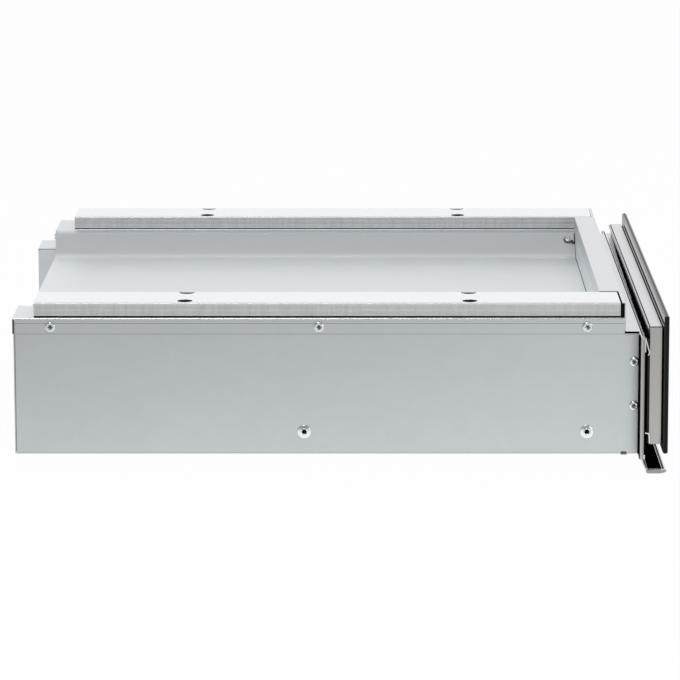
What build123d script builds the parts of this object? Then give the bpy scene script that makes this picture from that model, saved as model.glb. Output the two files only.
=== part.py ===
from build123d import *
import math
import os

# A built-in warming drawer, 140 mm class, with a handleless glass front, shown closed.
# Frame: X across the front, front towards -Y, Z up. The origin is the middle of the
# underside of the base plate, the face that rests on the cabinet shelf.
# Lengths are millimetres.

# --- Driving sizes: casing -------------------------------------------------------------------
BODY_WIDTH = 560.0          # outside the two side panels
BODY_DEPTH = 548.0          # side panel, front edge to rear edge
BODY_HEIGHT = 121.0         # shelf to the top of the cover's ledges
PANEL_SHEET = 1.0           # base, sides, rear and partition
COVER_SHEET = 0.8           # top cover, ceiling, ducts and other thin sheet
NOTCH_DEPTH = 13.0          # cut-out at the top front corner of each side panel
NOTCH_HEIGHT = 14.8
COVER_FLANGE = 14.0         # turned-down edge of the top cover
LEDGE_WIDTH = 63.0          # flat ledge of the cover on each side of its air trough
TROUGH_SLOPE_RUN = 29.0     # the trough's sloping side, measured level
TROUGH_DROP = 23.0
TROUGH_FRONT_INSET = 32.0   # trough's front wall behind the side panels' front edge

# --- Driving sizes: top rails and cross member -----------------------------------------------
RAIL_WIDTH = 58.5
RAIL_HEIGHT = 12.8
RAIL_WALL = 2.0
RAIL_FRONT_INSET = 16.6
RAIL_REAR_INSET = 17.8
RAIL_LEFT_INSET = 2.0       # outer edge of the left rail inside the side panel
RAIL_RIGHT_INSET = 3.5
RAIL_GROOVE_DEPTH = 0.6
RAIL_GROOVE_WIDTH = 1.0
RAIL_GROOVE_LEVELS = (0.22, 0.62, 0.88)   # shares of the rail's height
SPACER_HOLE_RADIUS = 6.7
SPACER_HOLE_INSET = 12.2                  # first row of holes from the rail's left edge
SPACER_SLOT_INSET = 54.5                  # second row, which cuts the rail's right edge
SPACER_HOLE_PITCH = 250.0
SPACER_HOLE_SHIFT = -0.7                  # pair of holes against the middle of the body
CROSS_END_GAP = 4.0         # cross member between the rails, at each end
CROSS_STRIP = 2.6           # narrow strip of the cross member in front of the rails

# --- Driving sizes: front frame, trim and door -----------------------------------------------
FRONT_OVERLAP = 17.5        # front beyond the casing, on each side
FRAME_SHEET = 2.4
FLANGE_CLEARANCE = 4.0      # screw heads on the casing's side stay inside this width
FLANGE_STEP = 0.4           # beyond it the frame's flange is set forward, flat for the niche
FRAME_BOTTOM = -2.0
FRAME_LEDGE_GAP = 0.2       # frame's top ledge over the side panels' cut-outs
FRAME_TOP_LIMB = 11.2       # frame above its opening
OPENING_BOTTOM = 3.0
SEAL_FRAME_DEPTH = 2.4
SEAL_FRAME_INSET = 1.5      # seal frame inside the outline of the front frame
SEAL_FRAME_LIMB = 11.0
SEAL_FRAME_DROP = 1.7       # seal frame's top under the frame's top
TRIM_TOP = -10.0
TRIM_THICKNESS = 4.2
TRIM_DEPTH = 18.0
TRIM_GAP = 1.0              # trim ahead of the seal frame
TRIM_BEAD_RADIUS = 1.9
TRIM_LIP = 1.7
TRIM_INSERT_THICKNESS = 0.8
TRIM_HANGER_WIDTH = 30.0
TRIM_HANGER_SPACING = 240.0
GASKET_GAP = 0.4            # closed door: gasket to seal frame
GASKET_DEPTH = 3.4
GASKET_LIMB = 9.0
GASKET_SIDE_INSET = 3.0     # gasket inside the door box's sides
GASKET_TOP_DROP = 0.3       # gasket's top under the seal frame's top
GASKET_BOTTOM_INSET = 1.5
DOOR_BOX_SIDE_INSET = 7.5   # door box inside the outline of the glass
DOOR_BOX_TOP_INSET = 9.8
DOOR_BOX_BOTTOM_INSET = 7.0
DOOR_BOX_DEPTH = 10.5
DOOR_BOX_SHEET = 1.0
BONDING_THICKNESS = 1.4
BONDING_WIDTH = 8.0
BONDING_INSET = 2.0
GLASS_THICKNESS = 4.4
GLASS_RISE = 4.3            # glass above the cover's ledges
GLASS_BOTTOM = 3.5
GLASS_EDGE_RADIUS = 1.2

# --- Driving sizes: drawer and runners -------------------------------------------------------
RUNNER_THICKNESS = 14.0
RUNNER_HEIGHT = 35.0
RUNNER_SHEET = 1.4
RUNNER_AXIS_HEIGHT = 19.5
RUNNER_GAP = 0.4
RUNNER_FRONT_INSET = 6.0
RUNNER_REAR_GAP = 1.0       # outer runner ahead of the rear partition
MIDDLE_RUNNER_SETBACK = 2.0
MIDDLE_RUNNER_SHORTER = 20.0
TRAY_BOTTOM = 8.0
TRAY_TOP_GAP = 6.0          # tray's rim under the cavity's ceiling
TRAY_SHEET = 1.0
TRAY_REAR_GAP = 11.0        # tray's rear wall ahead of the rear partition
PLATE_THICKNESS = 5.0       # glass heating plate
PLATE_LEVEL = 28.5          # underside of the heating plate
PLATE_CLEARANCE = 0.5
HEATER_MAT_THICKNESS = 1.5
CONSOLE_DEPTH = 44.0
CONSOLE_TOP = 50.0
KNOB_RADIUS = 17.0
KNOB_HEIGHT = 15.0
KNOB_INSET = 60.0           # knob's axis from the tray's left side
KNOB_GAP = 0.3
KNOB_EDGE_RADIUS = 1.6
KNOB_SKIRT = 3.0            # plain rim under the flutes
KNOB_GRIP_FLUTES = 24
KNOB_FLUTE_RADIUS = 1.0
SPINDLE_RADIUS = 3.0
SHAFT_CLEARANCE = 0.06
SWITCH_WIDTH = 30.0
SWITCH_DEPTH = 28.0
SWITCH_HEIGHT = 16.0
LAMP_SPACING = 37.4         # indicator light from the knob's axis
LAMP_STEM_RADIUS = 2.5
LAMP_STEM_LENGTH = 10.0
LAMP_LENS_RADIUS = 3.4
LAMP_LENS_HEIGHT = 1.4
DOOR_SCREW_DROP = 12.0      # door screws under the tray's rim
DOOR_SCREW_INSET = 20.0     # outer door screws from the tray's sides
DOOR_SCREW_SPACING = 160.0  # between the two middle ones

# --- Driving sizes: cavity ceiling, rear compartment -----------------------------------------
CEILING_GAP = 3.2           # ceiling under the trough's floor
CEILING_FLANGE = 10.0
CEILING_FRONT_INSET = 34.0
PARTITION_INSET = 90.0      # front face of the rear partition ahead of the rear panel
FAN_X = 60.0                # fan's axis beside the middle of the body
FAN_HOUSING_RADIUS = 42.0
FAN_LEVEL = 16.0
FAN_HOUSING_HEIGHT = 45.0
FAN_LEG_RADIUS = 4.0
IMPELLER_RADIUS = 36.0
IMPELLER_BLADES = 24
IMPELLER_BLADE_DEPTH = 9.0
IMPELLER_BLADE_SHEET = 1.0
IMPELLER_CLEARANCE = 4.0
MOTOR_RADIUS = 25.0
MOTOR_HEIGHT = 23.0
MOTOR_SHAFT_RADIUS = 2.5
DUCT_LENGTH = 220.0
DUCT_DEPTH = 74.0
DUCT_TOP = 62.0
DUCT_GAP = 8.0              # between the duct and the fan housing's axis side
ELEMENT_RADIUS = 3.2
ELEMENT_RUN = 150.0
ELEMENT_PITCH = 22.0
ELEMENT_LEVEL = 34.0
LIMITER_RADIUS = 8.0
LIMITER_HEIGHT = 7.0
LIMITER_TAB_PITCH = 9.0
LIMITER_TAB_WIDTH = 6.0
LIMITER_TAB_SHEET = 1.0
BOARD_WIDTH = 78.0
BOARD_DEPTH = 58.0
BOARD_THICKNESS = 6.0
BOARD_FAN_GAP = 20.0
BOARD_WALL_GAP = 14.0
BOARD_PART_WIDTH = 18.0
BOARD_PART_DEPTH = 22.0
BOARD_PART_PITCH = 24.0
BOARD_EDGE = 6.0            # free edge of the board round its parts
RELAY_HEIGHT = 16.0
TRANSFORMER_HEIGHT = 22.0
VENT_SLOT_WIDTH = 6.0
VENT_SLOT_HEIGHT = 30.0
VENT_PITCH = 20.0
VENT_LEVEL = 35.0

# --- Driving sizes: rear fittings ------------------------------------------------------------
TERMINAL_INSET = 55.0       # terminal box's middle from the right side panel
TERMINAL_WIDTH = 52.0
TERMINAL_DEPTH = 17.3
TERMINAL_DROP = 16.0        # terminal box's top under the cover's ledges
TERMINAL_HEIGHT = 75.0
GLAND_RADIUS = 6.5
GLAND_BORE_RADIUS = 3.6
GLAND_LENGTH = 18.0
GLAND_NUT_THICKNESS = 4.0
BLOCK_POLE_PITCH = 11.0     # terminal block
BLOCK_WIDTH = 36.0
BLOCK_HEIGHT = 16.0
BLOCK_DEPTH = 10.4
BLOCK_LIFT = 28.5           # block above the terminal box's lower end
BLOCK_SCREW_RADIUS = 2.6
BLOCK_SCREW_DEPTH = 3.0
LOUVRE_COUNT = 3
LOUVRE_PITCH = 3.2
LOUVRE_INSET = 9.0          # louvres' middle from the right side panel
LOUVRE_WIDTH = 14.0
LOUVRE_DEPTH = 5.5
LOUVRE_DROP = 11.5          # highest louvre under the cover's ledges
LOUVRE_HEIGHT = 1.8
LOUVRE_LIP = 1.0
LATCH_INSET = 55.0          # latch's axis from the left side panel
LATCH_DROP = 28.0           # latch's axis under the tray's rim
LATCH_WIDTH = 24.0
LATCH_DEPTH = 50.0
LATCH_HEIGHT = 20.0
LATCH_WALL = 2.0
PLUNGER_RADIUS = 4.0
PLUNGER_TRAVEL = 6.0
PLUNGER_TIP_GAP = 0.3

# --- Driving sizes: fasteners ----------------------------------------------------------------
SCREW_HEAD_RADIUS = 4.1
SCREW_HEAD_HEIGHT = 2.3
SCREW_SHANK_RADIUS = 1.9
SCREW_CLEARANCE = 0.1
SCREW_LENGTH = 6.0
COVER_SCREW_FRONT = 45.5    # first cover screw behind the side panel's front edge
COVER_SCREW_REAR = 32.5     # last one ahead of its rear edge
COVER_SCREW_DROP = 7.6
FRAME_SCREW_INSET = 4.3
FRAME_SCREW_LOW = 5.1       # frame screws from the lower and upper ends of the lug
FRAME_SCREW_HIGH = 10.6
FRAME_LUG = 12.0            # lugs of the front frame inside the side panels
FRAME_LUG_SHEET = 1.2
FRAME_LUG_GAP = 1.0         # lug above the runner and under the ceiling
RIVET_FRONT = 39.2          # first rivet behind the runner's front end
RIVET_PITCH = 248.4
RIVET_HEAD_RADIUS = 6.0
RIVET_HEAD_HEIGHT = 1.6
RIVET_SHANK_RADIUS = 3.0
RIVET_BORE_RADIUS = 1.75
CABINET_SCREW_RADIUS = 2.3
CABINET_SCREW_OUTSET = 8.0  # cabinet screws outside the casing
CABINET_SCREW_LOW = 25.0
CABINET_SCREW_DROP = 22.2   # upper ones under the frame's top

# --- Places that follow from the sizes -------------------------------------------------------
SIDE = BODY_WIDTH / 2                       # outer face of the right side panel
INNER = SIDE - PANEL_SHEET                  # its inner face
FRONT = -BODY_DEPTH / 2                     # front edge of the side panels
REAR = BODY_DEPTH / 2                       # rear edge of the side panels
TROUGH_HALF = SIDE - LEDGE_WIDTH
TROUGH_FLOOR_HALF = TROUGH_HALF - TROUGH_SLOPE_RUN
TROUGH_FRONT = FRONT + TROUGH_FRONT_INSET
TROUGH_FLOOR = BODY_HEIGHT - TROUGH_DROP          # upper face of the trough's floor
COVER_FRONT = FRONT + NOTCH_DEPTH
RAIL_TOP = BODY_HEIGHT + RAIL_HEIGHT
RAIL_FRONT = FRONT + RAIL_FRONT_INSET
RAIL_REAR = REAR - RAIL_REAR_INSET
RAIL_LEFT_X = -SIDE + RAIL_LEFT_INSET       # left edges of the two rails
RAIL_RIGHT_X = SIDE - RAIL_RIGHT_INSET - RAIL_WIDTH
FRONT_HALF = SIDE + FRONT_OVERLAP
FRAME_TOP = BODY_HEIGHT - NOTCH_HEIGHT + FRAME_LEDGE_GAP + COVER_SHEET
FRAME_FRONT = FRONT - FRAME_SHEET
OPENING_HALF = INNER - RUNNER_SHEET         # as wide as the space between the outer runners' webs
OPENING_TOP = FRAME_TOP - FRAME_TOP_LIMB
SEAL_FRONT = FRAME_FRONT - SEAL_FRAME_DEPTH
SEAL_TOP = FRAME_TOP - SEAL_FRAME_DROP
GASKET_FRONT = SEAL_FRONT - GASKET_GAP
DOOR_REAR = GASKET_FRONT - GASKET_DEPTH
DOOR_FRONT = DOOR_REAR - DOOR_BOX_DEPTH
GLASS_REAR = DOOR_FRONT - BONDING_THICKNESS
GLASS_FRONT = GLASS_REAR - GLASS_THICKNESS
GLASS_TOP = BODY_HEIGHT + GLASS_RISE
DOOR_HALF = FRONT_HALF - DOOR_BOX_SIDE_INSET
DOOR_TOP = GLASS_TOP - DOOR_BOX_TOP_INSET
DOOR_BOTTOM = GLASS_BOTTOM + DOOR_BOX_BOTTOM_INSET
PARTITION = REAR - PANEL_SHEET - PARTITION_INSET
CEILING_LEVEL = TROUGH_FLOOR - COVER_SHEET - CEILING_GAP
TRAY_HALF = INNER - RUNNER_THICKNESS
TRAY_REAR = PARTITION - TRAY_REAR_GAP
TRAY_TOP = CEILING_LEVEL - TRAY_TOP_GAP
RUNNER_FRONT = FRONT + RUNNER_FRONT_INSET
RUNNER_REAR = PARTITION - RUNNER_REAR_GAP
PLATE_TOP = PLATE_LEVEL + PLATE_THICKNESS
CONSOLE_REAR = DOOR_REAR + TRAY_SHEET + CONSOLE_DEPTH
KNOB_X = -TRAY_HALF + KNOB_INSET
KNOB_Y = DOOR_REAR + TRAY_SHEET + CONSOLE_DEPTH / 2
FAN_Y = (PARTITION + PANEL_SHEET + REAR - PANEL_SHEET) / 2
FAN_TOP = FAN_LEVEL + FAN_HOUSING_HEIGHT
DUCT_RIGHT = FAN_X - FAN_HOUSING_RADIUS - DUCT_GAP
DUCT_LEFT = DUCT_RIGHT - DUCT_LENGTH
TERMINAL_X = SIDE - TERMINAL_INSET
TERMINAL_TOP = BODY_HEIGHT - TERMINAL_DROP
TERMINAL_BOTTOM = TERMINAL_TOP - TERMINAL_HEIGHT
TERMINAL_REAR = REAR + TERMINAL_DEPTH
LOUVRE_X = SIDE - LOUVRE_INSET
LOUVRE_LEVEL = BODY_HEIGHT - LOUVRE_DROP
LATCH_X = -SIDE + LATCH_INSET
LATCH_LEVEL = TRAY_TOP - LATCH_DROP
LUG_LOW = RUNNER_AXIS_HEIGHT + RUNNER_HEIGHT / 2 + FRAME_LUG_GAP
LUG_HIGH = CEILING_LEVEL - FRAME_LUG_GAP


# --- Shared shapes ---------------------------------------------------------------------------
def block(x, y, z):
    """Box between a low and a high value along each axis."""
    middle = [(low + high) / 2 for low, high in (x, y, z)]
    return Pos(*middle) * Box(x[1] - x[0], y[1] - y[0], z[1] - z[0])


def rod(start, end, radius):
    """Solid cylinder between two points."""
    axis = Vector(*end) - Vector(*start)
    base = Plane(origin=start, z_dir=axis.normalized())
    return base * Cylinder(radius, axis.length, align=(Align.CENTER, Align.CENTER, Align.MIN))


def ring(outer_x, outer_z, inner_x, inner_z, y):
    """Rectangular ring that stands upright: half-widths in X, low and high values in Z."""
    return block((-outer_x, outer_x), y, outer_z) - block((-inner_x, inner_x), y, inner_z)


def offset_line(points, distance):
    """Points of an open line moved sideways to its right, with mitred corners."""
    moved = []
    for i, (x, y) in enumerate(points):
        normals = []
        for (x0, y0), (x1, y1) in zip(points[max(i - 1, 0):], points[max(i - 1, 0) + 1:i + 2]):
            length = math.hypot(x1 - x0, y1 - y0)
            normals.append(((y1 - y0) / length, -(x1 - x0) / length))
        nx = sum(n[0] for n in normals) / len(normals)
        ny = sum(n[1] for n in normals) / len(normals)
        scale = distance / (nx * nx + ny * ny)
        moved.append((x + nx * scale, y + ny * scale))
    return moved


def folded_sheet(points, thickness, plane, length):
    """Folded sheet: an open line in the plane, thickened to its right and extruded."""
    outline = points + offset_line(points, thickness)[::-1]
    return extrude(plane * make_face(Polyline(*outline, close=True)), length)


def prism(points, plane, length):
    """Closed outline in a plane, extruded along its normal."""
    return extrude(plane * make_face(Polyline(*points, close=True)), length)


def along_y(start):
    """Plane across the body's depth: local x is X, local y is Z, extrudes towards +Y."""
    return Plane(origin=(0, start, 0), x_dir=(1, 0, 0), z_dir=(0, -1, 0))


def screw(point, outward, length=SCREW_LENGTH):
    """Pan-head screw with a cross recess; the head's underside is at the point."""
    seat = Plane(origin=point, z_dir=outward)
    head = Cylinder(SCREW_HEAD_RADIUS, SCREW_HEAD_HEIGHT, align=(Align.CENTER, Align.CENTER, Align.MIN))
    head = fillet(head.edges().sort_by(Axis.Z)[-1], SCREW_HEAD_HEIGHT * 0.6)
    slot = Box(SCREW_HEAD_RADIUS, SCREW_HEAD_RADIUS * 0.25, SCREW_HEAD_HEIGHT)
    recess = Pos(0, 0, SCREW_HEAD_HEIGHT) * (slot + Rot(0, 0, 90) * slot)
    shank = Cylinder(SCREW_SHANK_RADIUS, length, align=(Align.CENTER, Align.CENTER, Align.MAX))
    return seat * (head - recess + shank)


def screw_hole(point, outward, length=SCREW_LENGTH):
    """Clearance hole for the shank of a screw set at the same place."""
    seat = Plane(origin=point, z_dir=outward)
    radius = SCREW_SHANK_RADIUS + SCREW_CLEARANCE
    reach = length + SCREW_CLEARANCE
    return seat * Cylinder(radius, 2 * reach, align=(Align.CENTER, Align.CENTER, Align.CENTER))


def save(name, *solids):
    """Write one node; several solids stay separate inside it."""
    flat = [piece for shape in solids for piece in shape.solids()]
    export_step(flat[0] if len(flat) == 1 else Compound(children=flat), f"parts/{name}.step")


# --- Places of the fasteners -----------------------------------------------------------------
def cover_screw_places():
    """Seats of the cover's side screws on the outside of its turned-down flanges."""
    outside = SIDE + COVER_SHEET
    first, last = FRONT + COVER_SCREW_FRONT, REAR - COVER_SCREW_REAR
    return [((side * outside, y, BODY_HEIGHT - COVER_SCREW_DROP), (side, 0, 0))
            for side in (-1, 1) for y in (first, (first + last) / 2, last)]


def frame_screw_places():
    """Seats of the screws that tie the side panels to the front frame's lugs."""
    levels = (LUG_LOW + FRAME_SCREW_LOW, LUG_HIGH - FRAME_SCREW_HIGH)
    return [((side * SIDE, FRONT + FRAME_SCREW_INSET, z), (side, 0, 0))
            for side in (-1, 1) for z in levels]


def rivet_places():
    """Points on the outside of the side panels where the runners are riveted."""
    first = RUNNER_FRONT + RIVET_FRONT
    return [(side * SIDE, y, RUNNER_AXIS_HEIGHT, side)
            for side in (-1, 1) for y in (first, first + RIVET_PITCH)]


def cut_holes(shape, places):
    """The shape with the clearance holes of the screws at these places."""
    for point, outward in places:
        shape -= screw_hole(point, outward)
    return shape


def cut_rivet_holes(shape):
    """The shape with the holes that the runner rivets fill."""
    for x, y, z, side in rivet_places():
        inner = side * (INNER - RUNNER_SHEET)
        shape -= rod((x, y, z), (inner, y, z), RIVET_SHANK_RADIUS)
    return shape


# --- Casing ----------------------------------------------------------------------------------
def make_base_plate():
    """Flat floor of the casing between the side panels."""
    return block((-INNER, INNER), (FRONT, REAR - PANEL_SHEET), (0, PANEL_SHEET))


def make_side_panel(side):
    """Side panel with the cut-out at its top front corner."""
    x = sorted((side * INNER, side * SIDE))
    top = BODY_HEIGHT - COVER_SHEET
    panel = block(x, (FRONT, REAR), (0, top))
    panel -= block(x, (FRONT, COVER_FRONT), (BODY_HEIGHT - NOTCH_HEIGHT, top))
    panel = cut_holes(panel, cover_screw_places() + frame_screw_places())
    return cut_rivet_holes(panel)


def trough_line():
    """Upper face of the cover across the body, left ledge to right ledge."""
    top, floor = TROUGH_HALF, TROUGH_FLOOR_HALF
    return [(-SIDE - COVER_SHEET, BODY_HEIGHT), (-top, BODY_HEIGHT), (-floor, TROUGH_FLOOR),
            (floor, TROUGH_FLOOR), (top, BODY_HEIGHT), (SIDE + COVER_SHEET, BODY_HEIGHT)]


def trough_space(y, sink=0.0):
    """Everything above the cover's upper face sunk by a distance, between two Y values."""
    line = offset_line(trough_line()[1:-1], sink)
    lift = BODY_HEIGHT + sink + COVER_SHEET
    first, last = line[0], line[-1]
    outline = [(first[0], lift)] + line + [(last[0], lift)]
    return prism(outline, along_y(y[0]), y[0] - y[1])


def make_top_cover():
    """Top cover: ledges, pressed air trough open at the rear, and turned-down edges."""
    outside = SIDE + COVER_SHEET
    ledge = BODY_HEIGHT - COVER_SHEET
    cover = folded_sheet(trough_line(), COVER_SHEET, along_y(TROUGH_FRONT), TROUGH_FRONT - REAR)
    cover += block((-outside, outside), (COVER_FRONT, TROUGH_FRONT), (ledge, BODY_HEIGHT))
    wall_y = (TROUGH_FRONT - COVER_SHEET, TROUGH_FRONT)
    wall = block((-TROUGH_HALF, TROUGH_HALF), wall_y, (TROUGH_FLOOR - COVER_SHEET, BODY_HEIGHT))
    cover += wall & trough_space(wall_y, COVER_SHEET)
    flange = (BODY_HEIGHT - COVER_FLANGE, BODY_HEIGHT)
    for side in (-1, 1):
        cover += block(sorted((side * SIDE, side * outside)), (COVER_FRONT, REAR + COVER_SHEET), flange)
        ledge_x = sorted((side * TROUGH_HALF, side * outside))
        cover += block(ledge_x, (REAR, REAR + COVER_SHEET), flange)
    return cut_holes(cover, cover_screw_places() + [recess_screw_place()])


def make_rear_panel():
    """Rear panel, cut out under the air trough, with holes for the wires and louvres."""
    y = (REAR - PANEL_SHEET, REAR)
    panel = block((-INNER, INNER), y, (0, BODY_HEIGHT - COVER_SHEET))
    panel -= trough_space(y, COVER_SHEET)
    panel -= rod((TERMINAL_X, y[0], wire_level()), (TERMINAL_X, y[1], wire_level()), GLAND_RADIUS)
    return panel


def make_top_rail(left):
    """Extruded rail on the cover's ledge: hollow box, grooved sides, spacer holes."""
    x, y, z = (left, left + RAIL_WIDTH), (RAIL_FRONT, RAIL_REAR), (BODY_HEIGHT, RAIL_TOP)
    rail = block(x, y, z)
    rail -= block((x[0] + RAIL_WALL, x[1] - RAIL_WALL), y, (z[0] + RAIL_WALL, z[1] - RAIL_WALL))
    for share in RAIL_GROOVE_LEVELS:
        middle = z[0] + share * RAIL_HEIGHT
        level = (middle - RAIL_GROOVE_WIDTH / 2, middle + RAIL_GROOVE_WIDTH / 2)
        for edge in x:
            rail -= block((edge - RAIL_GROOVE_DEPTH, edge + RAIL_GROOVE_DEPTH), y, level)
    for inset in (SPACER_HOLE_INSET, SPACER_SLOT_INSET):
        for end in (-0.5, 0.5):
            centre = (left + inset, SPACER_HOLE_SHIFT + end * SPACER_HOLE_PITCH)
            rail -= rod((*centre, z[1] - RAIL_WALL), (*centre, z[1]), SPACER_HOLE_RADIUS)
    return rail


def make_cross_member():
    """Folded cross member that closes the front of the trough at rail height."""
    inner_top = RAIL_TOP - PANEL_SHEET
    between = (RAIL_LEFT_X + RAIL_WIDTH + CROSS_END_GAP, RAIL_RIGHT_X - CROSS_END_GAP)
    strip = (COVER_FRONT - PANEL_SHEET, COVER_FRONT - PANEL_SHEET + CROSS_STRIP)
    member = block(between, (strip[0], TROUGH_FRONT), (inner_top, RAIL_TOP))
    member += block((-INNER, INNER), strip, (inner_top, RAIL_TOP))
    rear = (TROUGH_FRONT - PANEL_SHEET, TROUGH_FRONT)
    member += block(between, rear, (BODY_HEIGHT, RAIL_TOP))
    front = (COVER_FRONT - PANEL_SHEET, COVER_FRONT)
    member += block((-INNER, INNER), front, (FRAME_TOP, RAIL_TOP))
    return member


def make_front_frame():
    """Frame plate in front of the casing: top ledge, side lugs, flat flanges for the niche."""
    plate = ring(FRONT_HALF, (FRAME_BOTTOM, FRAME_TOP), OPENING_HALF, (OPENING_BOTTOM, OPENING_TOP),
                 (FRAME_FRONT, FRONT))
    ledge_z = (FRAME_TOP - COVER_SHEET, FRAME_TOP)
    plate += block((-SIDE, SIDE), (FRONT, COVER_FRONT), ledge_z)
    for side in (-1, 1):
        x = sorted((side * (INNER - FRAME_LUG_SHEET), side * INNER))
        plate += block(x, (FRAME_FRONT, FRONT + FRAME_LUG), (LUG_LOW, LUG_HIGH))
    step_y = (FRONT - FLANGE_STEP, FRONT)
    for side in (-1, 1):
        flange_x = sorted((side * (SIDE + FLANGE_CLEARANCE), side * FRONT_HALF))
        plate -= block(flange_x, step_y, (FRAME_BOTTOM, FRAME_TOP))
    for point in cabinet_screw_points():
        plate -= rod((*point[:1], SEAL_FRONT, point[1]), (*point[:1], FRONT, point[1]), CABINET_SCREW_RADIUS)
    return cut_holes(plate, frame_screw_places())


def cabinet_screw_points():
    """X and Z of the screws that fix the frame to the cabinet's side walls."""
    return [(side * (SIDE + CABINET_SCREW_OUTSET), z)
            for side in (-1, 1) for z in (CABINET_SCREW_LOW, FRAME_TOP - CABINET_SCREW_DROP)]


def make_seal_frame():
    """Bright ring on the front frame that the door's gasket closes against."""
    outer = FRONT_HALF - SEAL_FRAME_INSET
    seal = ring(outer, (FRAME_BOTTOM, SEAL_TOP), outer - SEAL_FRAME_LIMB, (OPENING_BOTTOM, OPENING_TOP),
                (SEAL_FRONT, FRAME_FRONT))
    for x, z in cabinet_screw_points():
        seal -= rod((x, SEAL_FRONT, z), (x, FRAME_FRONT, z), CABINET_SCREW_RADIUS * 2)
    return seal


def trim_y():
    """Rear and front limits of the bottom trim."""
    rear = SEAL_FRONT - TRIM_GAP
    return rear - TRIM_DEPTH, rear


def make_bottom_trim():
    """Trim rail under the door: dished tray, rounded front bead and three hangers."""
    front, rear = trim_y()
    bottom = TRIM_TOP - TRIM_THICKNESS
    tray = block((-FRONT_HALF, FRONT_HALF), (front + TRIM_BEAD_RADIUS, rear), (bottom, TRIM_TOP))
    tray -= trim_recess()
    bead = (front + TRIM_BEAD_RADIUS, bottom + TRIM_BEAD_RADIUS + 0.4)
    tray += rod((-FRONT_HALF, *bead), (FRONT_HALF, *bead), TRIM_BEAD_RADIUS)
    for x in (-TRIM_HANGER_SPACING / 2, 0, TRIM_HANGER_SPACING / 2):
        span = (x - TRIM_HANGER_WIDTH / 2, x + TRIM_HANGER_WIDTH / 2)
        tray += block(span, (SEAL_FRONT, FRAME_FRONT), (bottom, FRAME_BOTTOM))
        tray += block(span, (rear - TRIM_LIP, FRAME_FRONT), (bottom, bottom + TRIM_LIP))
    return tray


def trim_recess():
    """Shallow recess in the trim that the dark insert lies in."""
    front, rear = trim_y()
    half = FRONT_HALF - TRIM_LIP
    depth = TRIM_INSERT_THICKNESS + 0.6
    return block((-half, half), (front + 2 * TRIM_BEAD_RADIUS, rear - TRIM_LIP), (TRIM_TOP - depth, TRIM_TOP))


def make_trim_insert():
    """Dark ribbed insert on the floor of the trim's recess."""
    front, rear = trim_y()
    half = FRONT_HALF - TRIM_LIP
    floor = TRIM_TOP - TRIM_INSERT_THICKNESS - 0.6
    y = (front + 2 * TRIM_BEAD_RADIUS, rear - TRIM_LIP)
    strip = block((-half, half), y, (floor, floor + TRIM_INSERT_THICKNESS / 2))
    pitch = (y[1] - y[0]) / 6
    for i in range(6):
        low = y[0] + (i + 0.25) * pitch
        strip += block((-half, half), (low, low + pitch / 2), (floor, floor + TRIM_INSERT_THICKNESS))
    return strip


# --- Cavity ceiling, rear compartment --------------------------------------------------------
def ceiling_y():
    """Front and rear limits of the cavity's ceiling."""
    return FRONT + CEILING_FRONT_INSET, PARTITION


def make_ceiling():
    """Reflector sheet over the drawer, hung from the side panels by its flanges."""
    y = ceiling_y()
    ceiling = block((-INNER, INNER), y, (CEILING_LEVEL, CEILING_LEVEL + COVER_SHEET))
    for side in (-1, 1):
        x = sorted((side * (INNER - COVER_SHEET), side * INNER))
        ceiling += block(x, y, (CEILING_LEVEL, CEILING_LEVEL + CEILING_FLANGE))
    return ceiling


def make_ceiling_insulation():
    """Insulation that fills the space between the ceiling and the top cover."""
    y = ceiling_y()
    half = INNER - COVER_SHEET - SCREW_LENGTH
    bottom, top = CEILING_LEVEL + COVER_SHEET, BODY_HEIGHT - COVER_SHEET
    filling = block((-half, half), y, (bottom, top))
    filling -= trough_space(y, COVER_SHEET)
    return cut_holes(filling, [recess_screw_place()])


def make_partition():
    """Wall between the drawer and the rear compartment, with its air slots."""
    y = (PARTITION, PARTITION + PANEL_SHEET)
    wall = block((-INNER, INNER), y, (PANEL_SHEET, CEILING_LEVEL + COVER_SHEET))
    slot = (VENT_LEVEL - VENT_SLOT_HEIGHT / 2, VENT_LEVEL + VENT_SLOT_HEIGHT / 2)
    count = int((DUCT_LENGTH - 2 * VENT_PITCH) // VENT_PITCH)
    for i in range(count):
        for start in (DUCT_LEFT + VENT_PITCH, FAN_X + FAN_HOUSING_RADIUS):
            x = start + i * VENT_PITCH
            if x + VENT_SLOT_WIDTH < INNER - VENT_PITCH:
                wall -= block((x, x + VENT_SLOT_WIDTH), y, slot)
    wall -= rod((LATCH_X, y[0], LATCH_LEVEL), (LATCH_X, y[1], LATCH_LEVEL), PLUNGER_RADIUS * 1.25)
    return wall


def nozzle_y():
    """Front and rear limits of the blower's nozzle, which opens into the duct."""
    half = FAN_HOUSING_RADIUS * 0.6
    return FAN_Y - half, FAN_Y + half


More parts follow.
